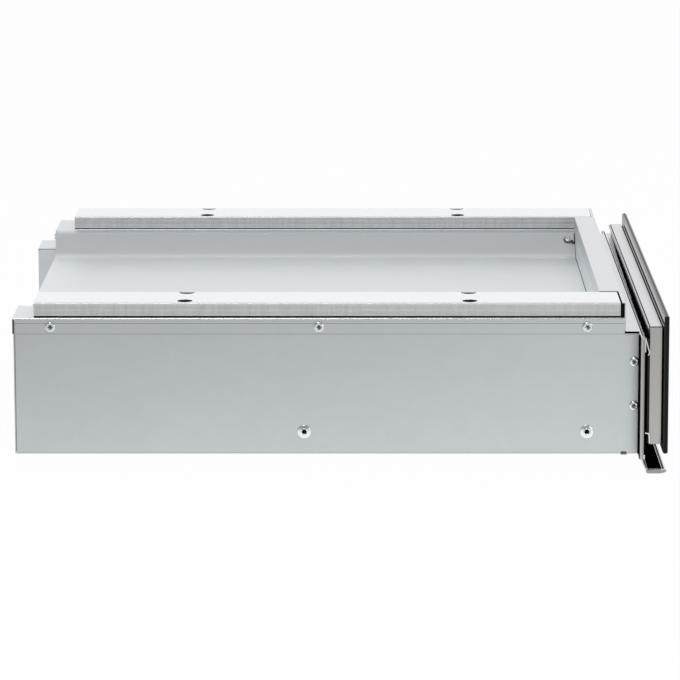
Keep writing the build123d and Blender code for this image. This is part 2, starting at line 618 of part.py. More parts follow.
def make_fan_housing():
    """Blower housing on four legs: drum with an inlet below and a nozzle to the duct."""
    centre = (FAN_X, FAN_Y)
    drum = rod((*centre, FAN_LEVEL), (*centre, FAN_TOP), FAN_HOUSING_RADIUS)
    nozzle = nozzle_y()
    drum += block((DUCT_RIGHT, FAN_X), nozzle, (FAN_LEVEL, FAN_TOP))
    inside = (FAN_LEVEL + COVER_SHEET, FAN_TOP - COVER_SHEET)
    drum -= rod((*centre, inside[0]), (*centre, inside[1]), FAN_HOUSING_RADIUS - COVER_SHEET)
    air_y = (nozzle[0] + COVER_SHEET, nozzle[1] - COVER_SHEET)
    drum -= block((DUCT_RIGHT, FAN_X), air_y, inside)
    drum -= rod((*centre, FAN_LEVEL), (*centre, inside[0]), IMPELLER_RADIUS - IMPELLER_BLADE_DEPTH)
    drum -= rod((*centre, inside[1]), (*centre, FAN_TOP), MOTOR_SHAFT_RADIUS * 2)
    reach = (FAN_HOUSING_RADIUS - 1.5 * FAN_LEG_RADIUS) * math.sqrt(0.5)
    for dx in (-reach, reach):
        for dy in (-reach, reach):
            foot = (FAN_X + dx, FAN_Y + dy)
            drum += rod((*foot, PANEL_SHEET), (*foot, FAN_LEVEL), FAN_LEG_RADIUS)
    return drum


def make_fan_motor():
    """Shaded-pole motor on top of the blower housing, with the bore of its shaft."""
    centre = (FAN_X, FAN_Y)
    motor = rod((*centre, FAN_TOP), (*centre, FAN_TOP + MOTOR_HEIGHT), MOTOR_RADIUS)
    motor = fillet(motor.edges().sort_by(Axis.Z)[-1], MOTOR_RADIUS * 0.12)
    bore = MOTOR_SHAFT_RADIUS + SHAFT_CLEARANCE
    return motor - rod((*centre, FAN_TOP), (*centre, FAN_TOP + MOTOR_HEIGHT * 0.7), bore)


def make_impeller():
    """Radial impeller: back plate, blades, rim and the shaft into the motor."""
    centre = (FAN_X, FAN_Y)
    low = FAN_LEVEL + COVER_SHEET + IMPELLER_CLEARANCE
    high = FAN_TOP - COVER_SHEET - IMPELLER_CLEARANCE
    eye = IMPELLER_RADIUS - IMPELLER_BLADE_DEPTH
    wheel = rod((*centre, high - IMPELLER_BLADE_SHEET * 1.5), (*centre, high), IMPELLER_RADIUS)
    rim = rod((*centre, low), (*centre, low + IMPELLER_BLADE_SHEET * 1.5), IMPELLER_RADIUS)
    wheel += rim - rod((*centre, low), (*centre, low + IMPELLER_BLADE_SHEET * 1.5), eye)
    blade_x = (eye + IMPELLER_BLADE_SHEET, IMPELLER_RADIUS - IMPELLER_BLADE_SHEET)
    half = IMPELLER_BLADE_SHEET / 2
    blade = block(blade_x, (-half, half), (low + half, high - half))
    for i in range(IMPELLER_BLADES):
        wheel += Pos(*centre, 0) * Rot(0, 0, i * 360 / IMPELLER_BLADES) * blade
    wheel += rod((*centre, high - IMPELLER_CLEARANCE * 2), (*centre, high), MOTOR_SHAFT_RADIUS * 2.5)
    shaft_end = FAN_TOP + MOTOR_HEIGHT * 0.6
    return wheel + rod((*centre, high), (*centre, shaft_end), MOTOR_SHAFT_RADIUS)


def duct_y():
    """Front and rear limits of the heater duct against the partition."""
    front = PARTITION + PANEL_SHEET
    return front, front + DUCT_DEPTH


def make_heater_duct():
    """Sheet duct from the blower to the partition's slots, with the element's holes."""
    x, y, z = (DUCT_LEFT, DUCT_RIGHT), duct_y(), (PANEL_SHEET, DUCT_TOP)
    duct = block(x, y, z)
    duct -= block((x[0] + COVER_SHEET, x[1] - COVER_SHEET), (y[0], y[1] - COVER_SHEET),
                  (z[0] + COVER_SHEET, z[1] - COVER_SHEET))
    nozzle = nozzle_y()
    window_y = (nozzle[0] + COVER_SHEET, nozzle[1] - COVER_SHEET)
    duct -= block((x[1] - COVER_SHEET, x[1]), window_y, (FAN_LEVEL + COVER_SHEET, FAN_TOP - COVER_SHEET))
    for start in (element_path()[0], element_path()[-1]):
        leg = start[1:]
        duct -= rod((DUCT_LEFT, *leg), (DUCT_LEFT + COVER_SHEET, *leg), ELEMENT_RADIUS + SHAFT_CLEARANCE)
    return duct


def element_path():
    """Corner points of the element's meander, in from the duct's end wall and back."""
    inside = DUCT_LEFT + COVER_SHEET
    y = [duct_y()[0] + DUCT_DEPTH / 2 + k * ELEMENT_PITCH for k in (-1, 0, 1)]
    far, near = inside + ELEMENT_RUN, inside + ELEMENT_PITCH
    outside = DUCT_LEFT - 3 * ELEMENT_RADIUS
    z = ELEMENT_LEVEL
    middle = (y[1] + y[2]) / 2
    return [(outside, y[0], z), (far, y[0], z), (far, middle, z), (near + ELEMENT_PITCH, middle, z),
            (near + ELEMENT_PITCH, y[2], z), (outside, y[2], z)]


def make_heating_element():
    """Tubular heating element bent into a flat meander inside the duct."""
    points = element_path()
    turn = (ELEMENT_PITCH / 2) * 0.48
    path = FilletPolyline(*points, radius=turn)
    start = Plane(origin=path @ 0, z_dir=path % 0)
    return sweep(start * Circle(ELEMENT_RADIUS), path=path)


def make_limiter():
    """Temperature limiter: a small disc thermostat with two tabs on top of the duct."""
    x, y = DUCT_LEFT + DUCT_LENGTH / 2, duct_y()[0] + DUCT_DEPTH / 2
    top = DUCT_TOP + LIMITER_HEIGHT
    disc = rod((x, y, DUCT_TOP), (x, y, top), LIMITER_RADIUS)
    half, sheet = LIMITER_TAB_WIDTH / 2, LIMITER_TAB_SHEET / 2
    for tab in (x - LIMITER_TAB_PITCH / 2, x + LIMITER_TAB_PITCH / 2):
        disc += block((tab - sheet, tab + sheet), (y - half, y + half), (top, top + LIMITER_TAB_WIDTH))
    return disc


def make_power_module():
    """Relay board in its plastic carrier on the base, beside the blower."""
    left = FAN_X + FAN_HOUSING_RADIUS + BOARD_FAN_GAP
    front = PARTITION + PANEL_SHEET + BOARD_WALL_GAP
    top = PANEL_SHEET + BOARD_THICKNESS
    carrier = block((left, left + BOARD_WIDTH), (front, front + BOARD_DEPTH), (PANEL_SHEET, top))
    part_y = (front + BOARD_EDGE, front + BOARD_EDGE + BOARD_PART_DEPTH)
    for i, height in enumerate((RELAY_HEIGHT, RELAY_HEIGHT, TRANSFORMER_HEIGHT)):
        x = left + BOARD_EDGE + i * BOARD_PART_PITCH
        carrier += block((x, x + BOARD_PART_WIDTH), part_y, (top, top + height))
    return carrier


# --- Rear fittings ---------------------------------------------------------------------------
def wire_level():
    """Height of the wires' way through the rear panel, inside the terminal box."""
    return TERMINAL_TOP - TERMINAL_HEIGHT * 0.25


def make_terminal_box():
    """Sheet box over the mains terminals, behind the rear panel."""
    x = (TERMINAL_X - TERMINAL_WIDTH / 2, TERMINAL_X + TERMINAL_WIDTH / 2)
    box = block(x, (REAR, TERMINAL_REAR), (TERMINAL_BOTTOM, TERMINAL_TOP))
    inside = (x[0] + COVER_SHEET, x[1] - COVER_SHEET)
    inside_z = (TERMINAL_BOTTOM + COVER_SHEET, TERMINAL_TOP - COVER_SHEET)
    box -= block(inside, (REAR, TERMINAL_REAR - COVER_SHEET), inside_z)
    at = (TERMINAL_X, (REAR + TERMINAL_REAR) / 2)
    return box - rod((*at, TERMINAL_BOTTOM), (*at, TERMINAL_BOTTOM + COVER_SHEET), GLAND_RADIUS)


def make_terminal_block():
    """Three-pole terminal block on the rear panel's outer face, inside the box."""
    half, face = BLOCK_WIDTH / 2, REAR + BLOCK_DEPTH
    z = TERMINAL_BOTTOM + BLOCK_LIFT
    middle = z + BLOCK_HEIGHT / 2
    body = block((TERMINAL_X - half, TERMINAL_X + half), (REAR, face), (z, z + BLOCK_HEIGHT))
    for k in (-1, 0, 1):
        x = TERMINAL_X + k * BLOCK_POLE_PITCH
        body -= rod((x, face - BLOCK_SCREW_DEPTH, middle), (x, face, middle), BLOCK_SCREW_RADIUS)
    return body


def make_gland():
    """Cable gland under the terminal box: the mains inlet, with nothing plugged in."""
    at = (TERMINAL_X, (REAR + TERMINAL_REAR) / 2)
    inside = TERMINAL_BOTTOM + COVER_SHEET
    low = TERMINAL_BOTTOM - GLAND_LENGTH + GLAND_NUT_THICKNESS + COVER_SHEET
    gland = rod((*at, low), (*at, inside + GLAND_NUT_THICKNESS), GLAND_RADIUS)
    for z in (TERMINAL_BOTTOM - GLAND_NUT_THICKNESS, inside):
        nut = extrude(Pos(*at, z) * RegularPolygon(GLAND_RADIUS * 1.12, 6), GLAND_NUT_THICKNESS)
        gland += nut
    return gland - rod((*at, low), (*at, inside + GLAND_NUT_THICKNESS), GLAND_BORE_RADIUS)


def make_louvres():
    """Short pressed louvres on the rear panel near its right upper corner."""
    x = (LOUVRE_X - LOUVRE_WIDTH / 2, LOUVRE_X + LOUVRE_WIDTH / 2)
    start = REAR + COVER_SHEET
    end = start + LOUVRE_DEPTH
    hoods = []
    for i in range(LOUVRE_COUNT):
        top = LOUVRE_LEVEL - i * LOUVRE_PITCH
        low = top - LOUVRE_HEIGHT
        profile = [(start, top), (start, low), (end, low), (end, low + LOUVRE_LIP)]
        side = Plane(origin=(x[0], 0, 0), x_dir=(0, 1, 0), z_dir=(1, 0, 0))
        hoods.append(prism(profile, side, x[1] - x[0]))
    return hoods


# --- Earth clip in the trough ----------------------------------------------------------------
def recess_slope():
    """Plane on the trough's right wall near the front: local z points out of the wall."""
    rise, run = TROUGH_DROP, TROUGH_SLOPE_RUN
    length = math.hypot(rise, run)
    share = 0.42
    point = (TROUGH_HALF - share * run, TROUGH_FRONT + 9.0, BODY_HEIGHT - share * rise)
    return Plane(origin=point, x_dir=(0, 1, 0), z_dir=(-rise / length, 0, run / length))


def recess_screw_place():
    """Seat of the earth screw on top of its clip, and the way its head faces."""
    slope = recess_slope()
    seat = slope.origin + slope.z_dir * 1.0
    return (seat.X, seat.Y, seat.Z), (slope.z_dir.X, slope.z_dir.Y, slope.z_dir.Z)


def make_earth_clip():
    """Spring clip under the earth screw, with a raised tab towards the front."""
    slope = recess_slope()
    base = Pos(-1.5, 0, 0.5) * Box(13.0, 7.0, 1.0)
    tab = Pos(-7.4, 0, 4.0) * Box(1.2, 7.0, 6.0)
    curl = Pos(-6.2, 0, 7.4) * Rot(90, 0, 0) * Cylinder(1.8, 7.0)
    clip = base + tab + curl
    clip = slope * clip
    return cut_holes(clip, [recess_screw_place()])


# --- Push latch ------------------------------------------------------------------------------
def latch_y():
    """Front and rear limits of the latch body behind the partition."""
    front = PARTITION + PANEL_SHEET
    return front, front + LATCH_DEPTH


def make_latch_body():
    """Latch housing behind the partition, bored for the plunger and its spring."""
    front, rear = latch_y()
    x = (LATCH_X - LATCH_WIDTH / 2, LATCH_X + LATCH_WIDTH / 2)
    z = (LATCH_LEVEL - LATCH_HEIGHT / 2, LATCH_LEVEL + LATCH_HEIGHT / 2)
    at = (LATCH_X, LATCH_LEVEL)
    bore = PLUNGER_RADIUS + SHAFT_CLEARANCE
    body = block(x, (front, rear), z)
    body = fillet(body.edges().filter_by(Axis.Y), LATCH_WALL)
    return body - rod((at[0], front, at[1]), (at[0], rear - LATCH_WALL, at[1]), bore)


def make_plunger():
    """Push-latch plunger with a rounded rubber-like tip just behind the tray."""
    front, rear = latch_y()
    tip, tail = TRAY_REAR + PLUNGER_TIP_GAP, rear - LATCH_WALL - 2.5 * PLUNGER_TRAVEL
    plunger = rod((LATCH_X, tip, LATCH_LEVEL), (LATCH_X, tail, LATCH_LEVEL), PLUNGER_RADIUS)
    return fillet(plunger.edges().sort_by(Axis.Y)[0], PLUNGER_RADIUS * 0.35)


# --- Runners ---------------------------------------------------------------------------------
def runner_channel(side, wall_x, open_x, half_height, y):
    """Channel of folded strip: a web at wall_x and two flanges that reach to open_x."""
    t = RUNNER_SHEET
    inward = math.copysign(1, open_x - wall_x)
    low, high = RUNNER_AXIS_HEIGHT - half_height, RUNNER_AXIS_HEIGHT + half_height
    span = sorted((side * wall_x, side * open_x))
    web = sorted((side * wall_x, side * (wall_x + inward * t)))
    channel = block(web, y, (low, high))
    channel += block(span, y, (low, low + t))
    return channel + block(span, y, (high - t, high))


def runner_heights():
    """Half-heights of the outer, middle and inner runner members."""
    step = RUNNER_SHEET + RUNNER_GAP
    outer = RUNNER_HEIGHT / 2
    return outer, outer - step, outer - 2 * step


def make_outer_runner(side):
    """Runner member that is riveted to the side panel."""
    reach = TRAY_HALF + RUNNER_SHEET + 2 * RUNNER_GAP
    channel = runner_channel(side, INNER, reach, runner_heights()[0], (RUNNER_FRONT, RUNNER_REAR))
    return cut_rivet_holes(channel)


def make_middle_runner(side):
    """Intermediate member between the outer and the inner one."""
    front = RUNNER_FRONT + MIDDLE_RUNNER_SETBACK
    rear = RUNNER_REAR + MIDDLE_RUNNER_SETBACK - MIDDLE_RUNNER_SHORTER
    wall = INNER - RUNNER_SHEET - 2 * RUNNER_GAP
    reach = TRAY_HALF + RUNNER_SHEET + RUNNER_GAP
    return runner_channel(side, wall, reach, runner_heights()[1], (front, rear))


def make_inner_runner(side):
    """Member fixed to the drawer's side."""
    reach = INNER - 2 * RUNNER_SHEET - 4 * RUNNER_GAP
    return runner_channel(side, TRAY_HALF, reach, runner_heights()[2], (RUNNER_FRONT, TRAY_REAR))


def make_rivets():
    """Hollow domed rivets with a round centre hole, two on each side."""
    rivets = []
    for x, y, z, side in rivet_places():
        inner = side * (INNER - RUNNER_SHEET)
        out = x + side * RIVET_HEAD_HEIGHT
        head = rod((x, y, z), (out, y, z), RIVET_HEAD_RADIUS)
        face = head.edges().sort_by(Axis.X)[-1 if side > 0 else 0]
        head = fillet(face, RIVET_HEAD_HEIGHT * 0.7)
        rivet = head + rod((x, y, z), (inner, y, z), RIVET_SHANK_RADIUS)
        rivets.append(rivet - rod((out, y, z), (inner, y, z), RIVET_BORE_RADIUS))
    return rivets


# --- Door ------------------------------------------------------------------------------------
def make_glass_front():
    """Flat glass front with softened edges."""
    glass = block((-FRONT_HALF, FRONT_HALF), (GLASS_FRONT, GLASS_REAR), (GLASS_BOTTOM, GLASS_TOP))
    return fillet(glass.edges().group_by(Axis.Y)[0], GLASS_EDGE_RADIUS)


def make_bonding():
    """Dark bonding strip between the glass and the folded door box."""
    outer = DOOR_HALF - BONDING_INSET
    low, high = DOOR_BOTTOM + BONDING_INSET, DOOR_TOP - BONDING_INSET
    return ring(outer, (low, high), outer - BONDING_WIDTH, (low + BONDING_WIDTH, high - BONDING_WIDTH),
                (GLASS_REAR, DOOR_FRONT))


def make_door_box():
    """Folded steel box behind the glass: rear wall, four sides and a front return."""
    t = DOOR_BOX_SHEET
    outer = block((-DOOR_HALF, DOOR_HALF), (DOOR_FRONT, DOOR_REAR), (DOOR_BOTTOM, DOOR_TOP))
    inner = block((-DOOR_HALF + t, DOOR_HALF - t), (DOOR_FRONT + t, DOOR_REAR - t),
                  (DOOR_BOTTOM + t, DOOR_TOP - t))
    box = outer - inner
    window = BONDING_INSET + BONDING_WIDTH
    box -= block((-DOOR_HALF + window, DOOR_HALF - window), (DOOR_FRONT, DOOR_FRONT + t),
                 (DOOR_BOTTOM + window, DOOR_TOP - window))
    return cut_holes(box, door_screw_places())


def make_door_insulation():
    """Insulating board inside the door box."""
    t = DOOR_BOX_SHEET
    board = block((-DOOR_HALF + t, DOOR_HALF - t), (DOOR_FRONT + t, DOOR_REAR - t),
                  (DOOR_BOTTOM + t, DOOR_TOP - t))
    return cut_holes(board, door_screw_places())


def door_screw_places():
    """Seats of the screws that hold the tray's front wall to the door box."""
    y = DOOR_REAR + TRAY_SHEET
    outer, middle = TRAY_HALF - DOOR_SCREW_INSET, DOOR_SCREW_SPACING / 2
    return [((x, y, TRAY_TOP - DOOR_SCREW_DROP), (0, 1, 0)) for x in (-outer, -middle, middle, outer)]


def make_gasket():
    """Silicone gasket on the back of the door, round its sides and top, against the seal frame."""
    outer = DOOR_HALF - GASKET_SIDE_INSET
    low, high = DOOR_BOTTOM + GASKET_BOTTOM_INSET, SEAL_TOP - GASKET_TOP_DROP
    return ring(outer, (low, high), outer - GASKET_LIMB, (low, high - GASKET_LIMB), (DOOR_REAR, GASKET_FRONT))


# --- Drawer ----------------------------------------------------------------------------------
def make_tray():
    """Steel drawer tray: floor, two sides, rear wall and the wall behind the door."""
    t = TRAY_SHEET
    x, y, z = (-TRAY_HALF, TRAY_HALF), (DOOR_REAR, TRAY_REAR), (TRAY_BOTTOM, TRAY_TOP)
    tray = block(x, y, z) - block((x[0] + t, x[1] - t), (y[0] + t, y[1] - t), (z[0] + t, z[1]))
    return cut_holes(tray, door_screw_places())


def plate_limits():
    """X and Y limits of the heating plate and what lies under it."""
    half = TRAY_HALF - TRAY_SHEET - PLATE_CLEARANCE
    return (-half, half), (CONSOLE_REAR + PLATE_CLEARANCE, TRAY_REAR - TRAY_SHEET - PLATE_CLEARANCE)


def make_base_insulation():
    """Insulation between the tray's floor and the heater mat."""
    x, y = plate_limits()
    return block(x, y, (TRAY_BOTTOM + TRAY_SHEET, PLATE_LEVEL - HEATER_MAT_THICKNESS))


def make_heater_mat():
    """Flat heater mat under the glass plate."""
    x, y = plate_limits()
    return block(x, y, (PLATE_LEVEL - HEATER_MAT_THICKNESS, PLATE_LEVEL))


def make_heating_plate():
    """Toughened glass plate that the dishes stand on."""
    x, y = plate_limits()
    plate = block(x, y, (PLATE_LEVEL, PLATE_TOP))
    return fillet(plate.edges().group_by(Axis.Z)[-1], 1.0)


def make_console():
    """Sheet console across the front of the tray that carries the knob."""
    t = COVER_SHEET
    half = TRAY_HALF - TRAY_SHEET
    y = (DOOR_REAR + TRAY_SHEET, CONSOLE_REAR)
    z = (TRAY_BOTTOM + TRAY_SHEET, CONSOLE_TOP)
    console = block((-half, half), y, z)
    console -= block((-half + t, half - t), (y[0], y[1] - t), (z[0], z[1] - t))
    hole = SPINDLE_RADIUS + 1.0
    console -= rod((KNOB_X, KNOB_Y, z[1] - t), (KNOB_X, KNOB_Y, z[1]), hole)
    lamp = indicator_place()
    return console - rod((*lamp, z[1] - t), (*lamp, z[1]), LAMP_STEM_RADIUS)


def make_switch():
    """Rotary switch under the console's top, bored for the knob's spindle."""
    x = (KNOB_X - SWITCH_WIDTH / 2, KNOB_X + SWITCH_WIDTH / 2)
    y = (KNOB_Y - SWITCH_DEPTH / 2, KNOB_Y + SWITCH_DEPTH / 2)
    top = CONSOLE_TOP - COVER_SHEET
    bore = SPINDLE_RADIUS + SHAFT_CLEARANCE
    socket = rod((KNOB_X, KNOB_Y, top - SWITCH_HEIGHT * 0.8), (KNOB_X, KNOB_Y, top), bore)
    return block(x, y, (top - SWITCH_HEIGHT, top)) - socket


def make_knob():
    """Temperature knob with a fluted grip, a pointer groove and its spindle."""
    low = CONSOLE_TOP + KNOB_GAP
    high = low + KNOB_HEIGHT
    knob = rod((KNOB_X, KNOB_Y, low), (KNOB_X, KNOB_Y, high), KNOB_RADIUS)
    knob = fillet(knob.edges().sort_by(Axis.Z)[-1], KNOB_EDGE_RADIUS)
    for i in range(KNOB_GRIP_FLUTES):
        angle = math.radians((i + 0.5) * 360 / KNOB_GRIP_FLUTES)
        edge = KNOB_RADIUS + KNOB_FLUTE_RADIUS * 0.4
        at = (KNOB_X + edge * math.cos(angle), KNOB_Y + edge * math.sin(angle))
        knob -= rod((*at, low + KNOB_SKIRT), (*at, high), KNOB_FLUTE_RADIUS)
    pointer = (KNOB_X - KNOB_FLUTE_RADIUS * 0.8, KNOB_X + KNOB_FLUTE_RADIUS * 0.8)
    pointer_y = (KNOB_Y + KNOB_RADIUS * 0.35, KNOB_Y + KNOB_RADIUS)
    knob -= block(pointer, pointer_y, (high - KNOB_FLUTE_RADIUS * 0.8, high))
    end = CONSOLE_TOP - COVER_SHEET - SWITCH_HEIGHT * 0.75
    return knob + rod((KNOB_X, KNOB_Y, end), (KNOB_X, KNOB_Y, low), SPINDLE_RADIUS)


def indicator_place():
    """X and Y of the indicator light beside the knob."""
    return KNOB_X + LAMP_SPACING, KNOB_Y


def make_indicator():
    """Small indicator light with a domed lens, set in the console."""
    x, y = indicator_place()
    stem = rod((x, y, CONSOLE_TOP - LAMP_STEM_LENGTH), (x, y, CONSOLE_TOP), LAMP_STEM_RADIUS)
    lens = rod((x, y, CONSOLE_TOP), (x, y, CONSOLE_TOP + LAMP_LENS_HEIGHT), LAMP_LENS_RADIUS)
    return stem + fillet(lens.edges().sort_by(Axis.Z)[-1], LAMP_LENS_HEIGHT * 0.7)


# --- Writing the sub-parts -------------------------------------------------------------------
os.makedirs("parts", exist_ok=True)

save("base_plate", make_base_plate())
save("side_panel_left", make_side_panel(-1))
save("side_panel_right", make_side_panel(1))
save("top_cover", make_top_cover())
save("rear_panel", make_rear_panel())
save("rear_louvres", *make_louvres())
save("top_rail_left", make_top_rail(RAIL_LEFT_X))
save("top_rail_right", make_top_rail(RAIL_RIGHT_X))
save("front_cross_member", make_cross_member())
save("front_frame", make_front_frame())
save("seal_frame", make_seal_frame())
save("bottom_trim", make_bottom_trim())
save("trim_insert", make_trim_insert())
save("cavity_ceiling", make_ceiling())
save("ceiling_insulation", make_ceiling_insulation())
save("rear_partition", make_partition())
save("fan_housing", make_fan_housing())
save("fan_motor", make_fan_motor())
save("fan_impeller", make_impeller())
save("heater_duct", make_heater_duct())
save("heating_element", make_heating_element())
save("temperature_limiter", make_limiter())
save("power_module", make_power_module())
save("terminal_box", make_terminal_box())
save("terminal_block", make_terminal_block())
save("cable_gland", make_gland())
save("earth_clip", make_earth_clip())
save("earth_screw", screw(*recess_screw_place()))
save("latch_body", make_latch_body())
save("latch_plunger", make_plunger())
save("cover_screws", *[screw(*place) for place in cover_screw_places()])
save("frame_screws", *[screw(*place) for place in frame_screw_places()])
save("runner_rivets", *make_rivets())
for side, word in ((-1, "left"), (1, "right")):
    save(f"runner_outer_{word}", make_outer_runner(side))
    save(f"runner_middle_{word}", make_middle_runner(side))
    save(f"runner_inner_{word}", make_inner_runner(side))
save("glass_front", make_glass_front())
save("glass_bonding", make_bonding())
save("door_box", make_door_box())
save("door_insulation", make_door_insulation())
save("door_gasket", make_gasket())
save("door_screws", *[screw(*place) for place in door_screw_places()])
save("drawer_tray", make_tray())
save("base_insulation", make_base_insulation())
save("heater_mat", make_heater_mat())
save("heating_plate", make_heating_plate())
save("control_console", make_console())
save("rotary_switch", make_switch())
save("temperature_knob", make_knob())
save("indicator_light", make_indicator())
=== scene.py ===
"""Looks of a built-in warming drawer: finishes, formed sheet, seals, screws, studio and camera.

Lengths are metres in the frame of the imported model: X across the front, the door towards -Y, Z up.
"""

import logging
import math
from dataclasses import dataclass
from enum import Enum

import bmesh
import bpy
import numpy as np
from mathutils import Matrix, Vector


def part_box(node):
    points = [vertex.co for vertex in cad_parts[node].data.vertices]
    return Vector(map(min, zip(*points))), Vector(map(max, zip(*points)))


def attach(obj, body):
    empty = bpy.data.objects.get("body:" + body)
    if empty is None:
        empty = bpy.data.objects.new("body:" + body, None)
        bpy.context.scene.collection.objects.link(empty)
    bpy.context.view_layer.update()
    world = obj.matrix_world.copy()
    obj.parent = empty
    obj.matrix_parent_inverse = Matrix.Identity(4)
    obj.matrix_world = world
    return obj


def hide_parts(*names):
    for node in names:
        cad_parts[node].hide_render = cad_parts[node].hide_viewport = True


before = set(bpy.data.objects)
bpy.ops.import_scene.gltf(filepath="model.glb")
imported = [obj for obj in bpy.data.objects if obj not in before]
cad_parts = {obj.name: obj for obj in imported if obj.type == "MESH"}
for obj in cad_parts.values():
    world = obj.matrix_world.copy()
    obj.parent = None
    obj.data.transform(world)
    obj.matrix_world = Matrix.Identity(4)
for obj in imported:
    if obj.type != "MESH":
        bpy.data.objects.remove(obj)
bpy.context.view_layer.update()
LOG = logging.getLogger("warming_drawer")
MM = 0.001
TINY = 1e-12                # keeps a division by a length of nothing finite
SHARPEST = 1e-9             # least squared length of two neighbouring normals together
NEAR = 1e-6                 # places closer than this, in metres, are the same
MERGE = 1e-7                # the same for the points of a shape made here
SLIVER = 1e-8               # edges shorter than this are dropped
SHARP_ANGLE = 32.0          # degrees from which a fold is shaded sharp
HAIR = 0.02 * MM            # edge radius and lift of thin strips
LINE = 0.01 * MM            # edge radius of the thinnest ones
PROUD = 0.03 * MM           # lift of a line or band over the face that carries it
WHITE = (1.0, 1.0, 1.0, 1.0)
DUST_COLOUR = (0.6, 0.59, 0.57, 1.0)

Colour = tuple[float, float, float]
Mesh = tuple[np.ndarray, list]


# --- Shapes: outlines -----------------------------------------------------------------------------
class Axis(Enum):
    """Axis that an outline is carried along. The outline's own two coordinates are the others."""

    X = 0
    Y = 1
    Z = 2


def arc(centre: tuple, radius: float, start: float, stop: float, steps: int = 9) -> np.ndarray:
    """Points on a circle: the centre plus the radius times (cos, sin) of evenly spaced angles.

    Args:
        centre: Middle of the circle.
        radius: Its radius.
        start: First angle in degrees.
        stop: Last angle in degrees.
        steps: How many points.

    Returns:
        The points, one row each.
    """
    angle = np.radians(np.linspace(start, stop, steps))
    return np.array(centre) + radius * np.stack([np.cos(angle), np.sin(angle)], axis=1)


def rounded(points: list, radii: list, closed: bool = False, steps: int = 6) -> np.ndarray:
    """Polyline with its corners swapped for arcs that are tangent to both runs.

    An arc of radius r in a corner of half-angle h starts r / tan(h) from the corner, and its
    centre lies on the corner's bisector, r / sin(h) away.

    Args:
        points: Corner points.
        radii: One radius for each point; 0 keeps the corner sharp.
        closed: Whether the last point joins the first.
        steps: Points in each arc.

    Returns:
        The rounded line.
    """
    corners = np.array(points, float)
    line = []
    for i, (corner, radius) in enumerate(zip(corners, radii)):
        if radius <= 0 or (not closed and i in (0, len(corners) - 1)):
            line.append(corner[None])
            continue
        to_last = corners[i - 1] - corner
        to_next = corners[(i + 1) % len(corners)] - corner
        reach = min(np.linalg.norm(to_last), np.linalg.norm(to_next)) * 0.49
        to_last = to_last / np.linalg.norm(to_last)
        to_next = to_next / np.linalg.norm(to_next)
        half = math.acos(float(np.clip(to_last @ to_next, -1, 1))) / 2
        radius = min(radius, reach * math.tan(half))
        bisector = (to_last + to_next) / np.linalg.norm(to_last + to_next)
        centre = corner + bisector * radius / math.sin(half)
        first = corner + to_last * radius / math.tan(half) - centre
        last = corner + to_next * radius / math.tan(half) - centre
        begin = math.atan2(first[1], first[0])
        turn = (math.atan2(last[1], last[0]) - begin + math.pi) % (2 * math.pi) - math.pi
        angle = begin + turn * np.linspace(0, 1, steps)
        line.append(centre + radius * np.stack([np.cos(angle), np.sin(angle)], axis=1))
    return np.concatenate(line)


def side_steps(line: np.ndarray, closed: bool) -> np.ndarray:
    """Unit normals to the right of a line's points, long enough that a shifted line keeps its gap.

    Args:
        line: The points.
        closed: Whether the last point joins the first.

    Returns:
        One normal for each point, longer at corners by one over the cosine of half the turn.
    """
    run = np.roll(line, -1, axis=0) - line
    if not closed:
        run[-1] = run[-2]
    run = run / np.maximum(np.linalg.norm(run, axis=1, keepdims=True), TINY)
    before = np.roll(run, 1, axis=0)
    if not closed:
        before[0] = run[0]
    normal = np.stack([run[:, 1] + before[:, 1], -run[:, 0] - before[:, 0]], axis=1)
    length = np.linalg.norm(normal, axis=1, keepdims=True)
    return 2 * normal / np.maximum(length ** 2, SHARPEST)


def strip(line: np.ndarray, thickness: float) -> np.ndarray:
    """Closed outline of a folded sheet: the line, and back along it, shifted to its right."""
    return np.concatenate([line, (line + thickness * side_steps(line, False))[::-1]])


def inset(outline: np.ndarray, distance: float) -> np.ndarray:
    """Closed outline shrunk inwards by a distance, whichever way round it runs."""
    x, y = outline[:, 0], outline[:, 1]
    turn = np.sign(np.sum(x * np.roll(y, -1) - y * np.roll(x, -1)))
    return outline - turn * distance * side_steps(outline, True)


# --- Shapes: surfaces -----------------------------------------------------------------------------
def carried(outline: np.ndarray, axis: Axis, stations: np.ndarray,
            insets: np.ndarray | None = None) -> np.ndarray:
    """Grid of an outline repeated along an axis, shrunk at each station by that station's inset."""
    insets = np.zeros(len(stations)) if insets is None else insets
    rings = [np.insert(inset(outline, d) if d else outline, axis.value, s, axis=1)
             for s, d in zip(stations, insets)]
    return np.stack(rings)


def soft_ends(low: float, high: float, radius: float, steps: int = 4) -> tuple[np.ndarray, np.ndarray]:
    """Stations and insets that round both ends of a bar by a quarter circle."""
    angle = np.linspace(0, math.pi / 2, steps)
    along, shrink = radius * (1 - np.cos(angle)), radius * (1 - np.sin(angle))
    return np.concatenate([low + along, (high - along)[::-1]]), np.concatenate([shrink, shrink[::-1]])


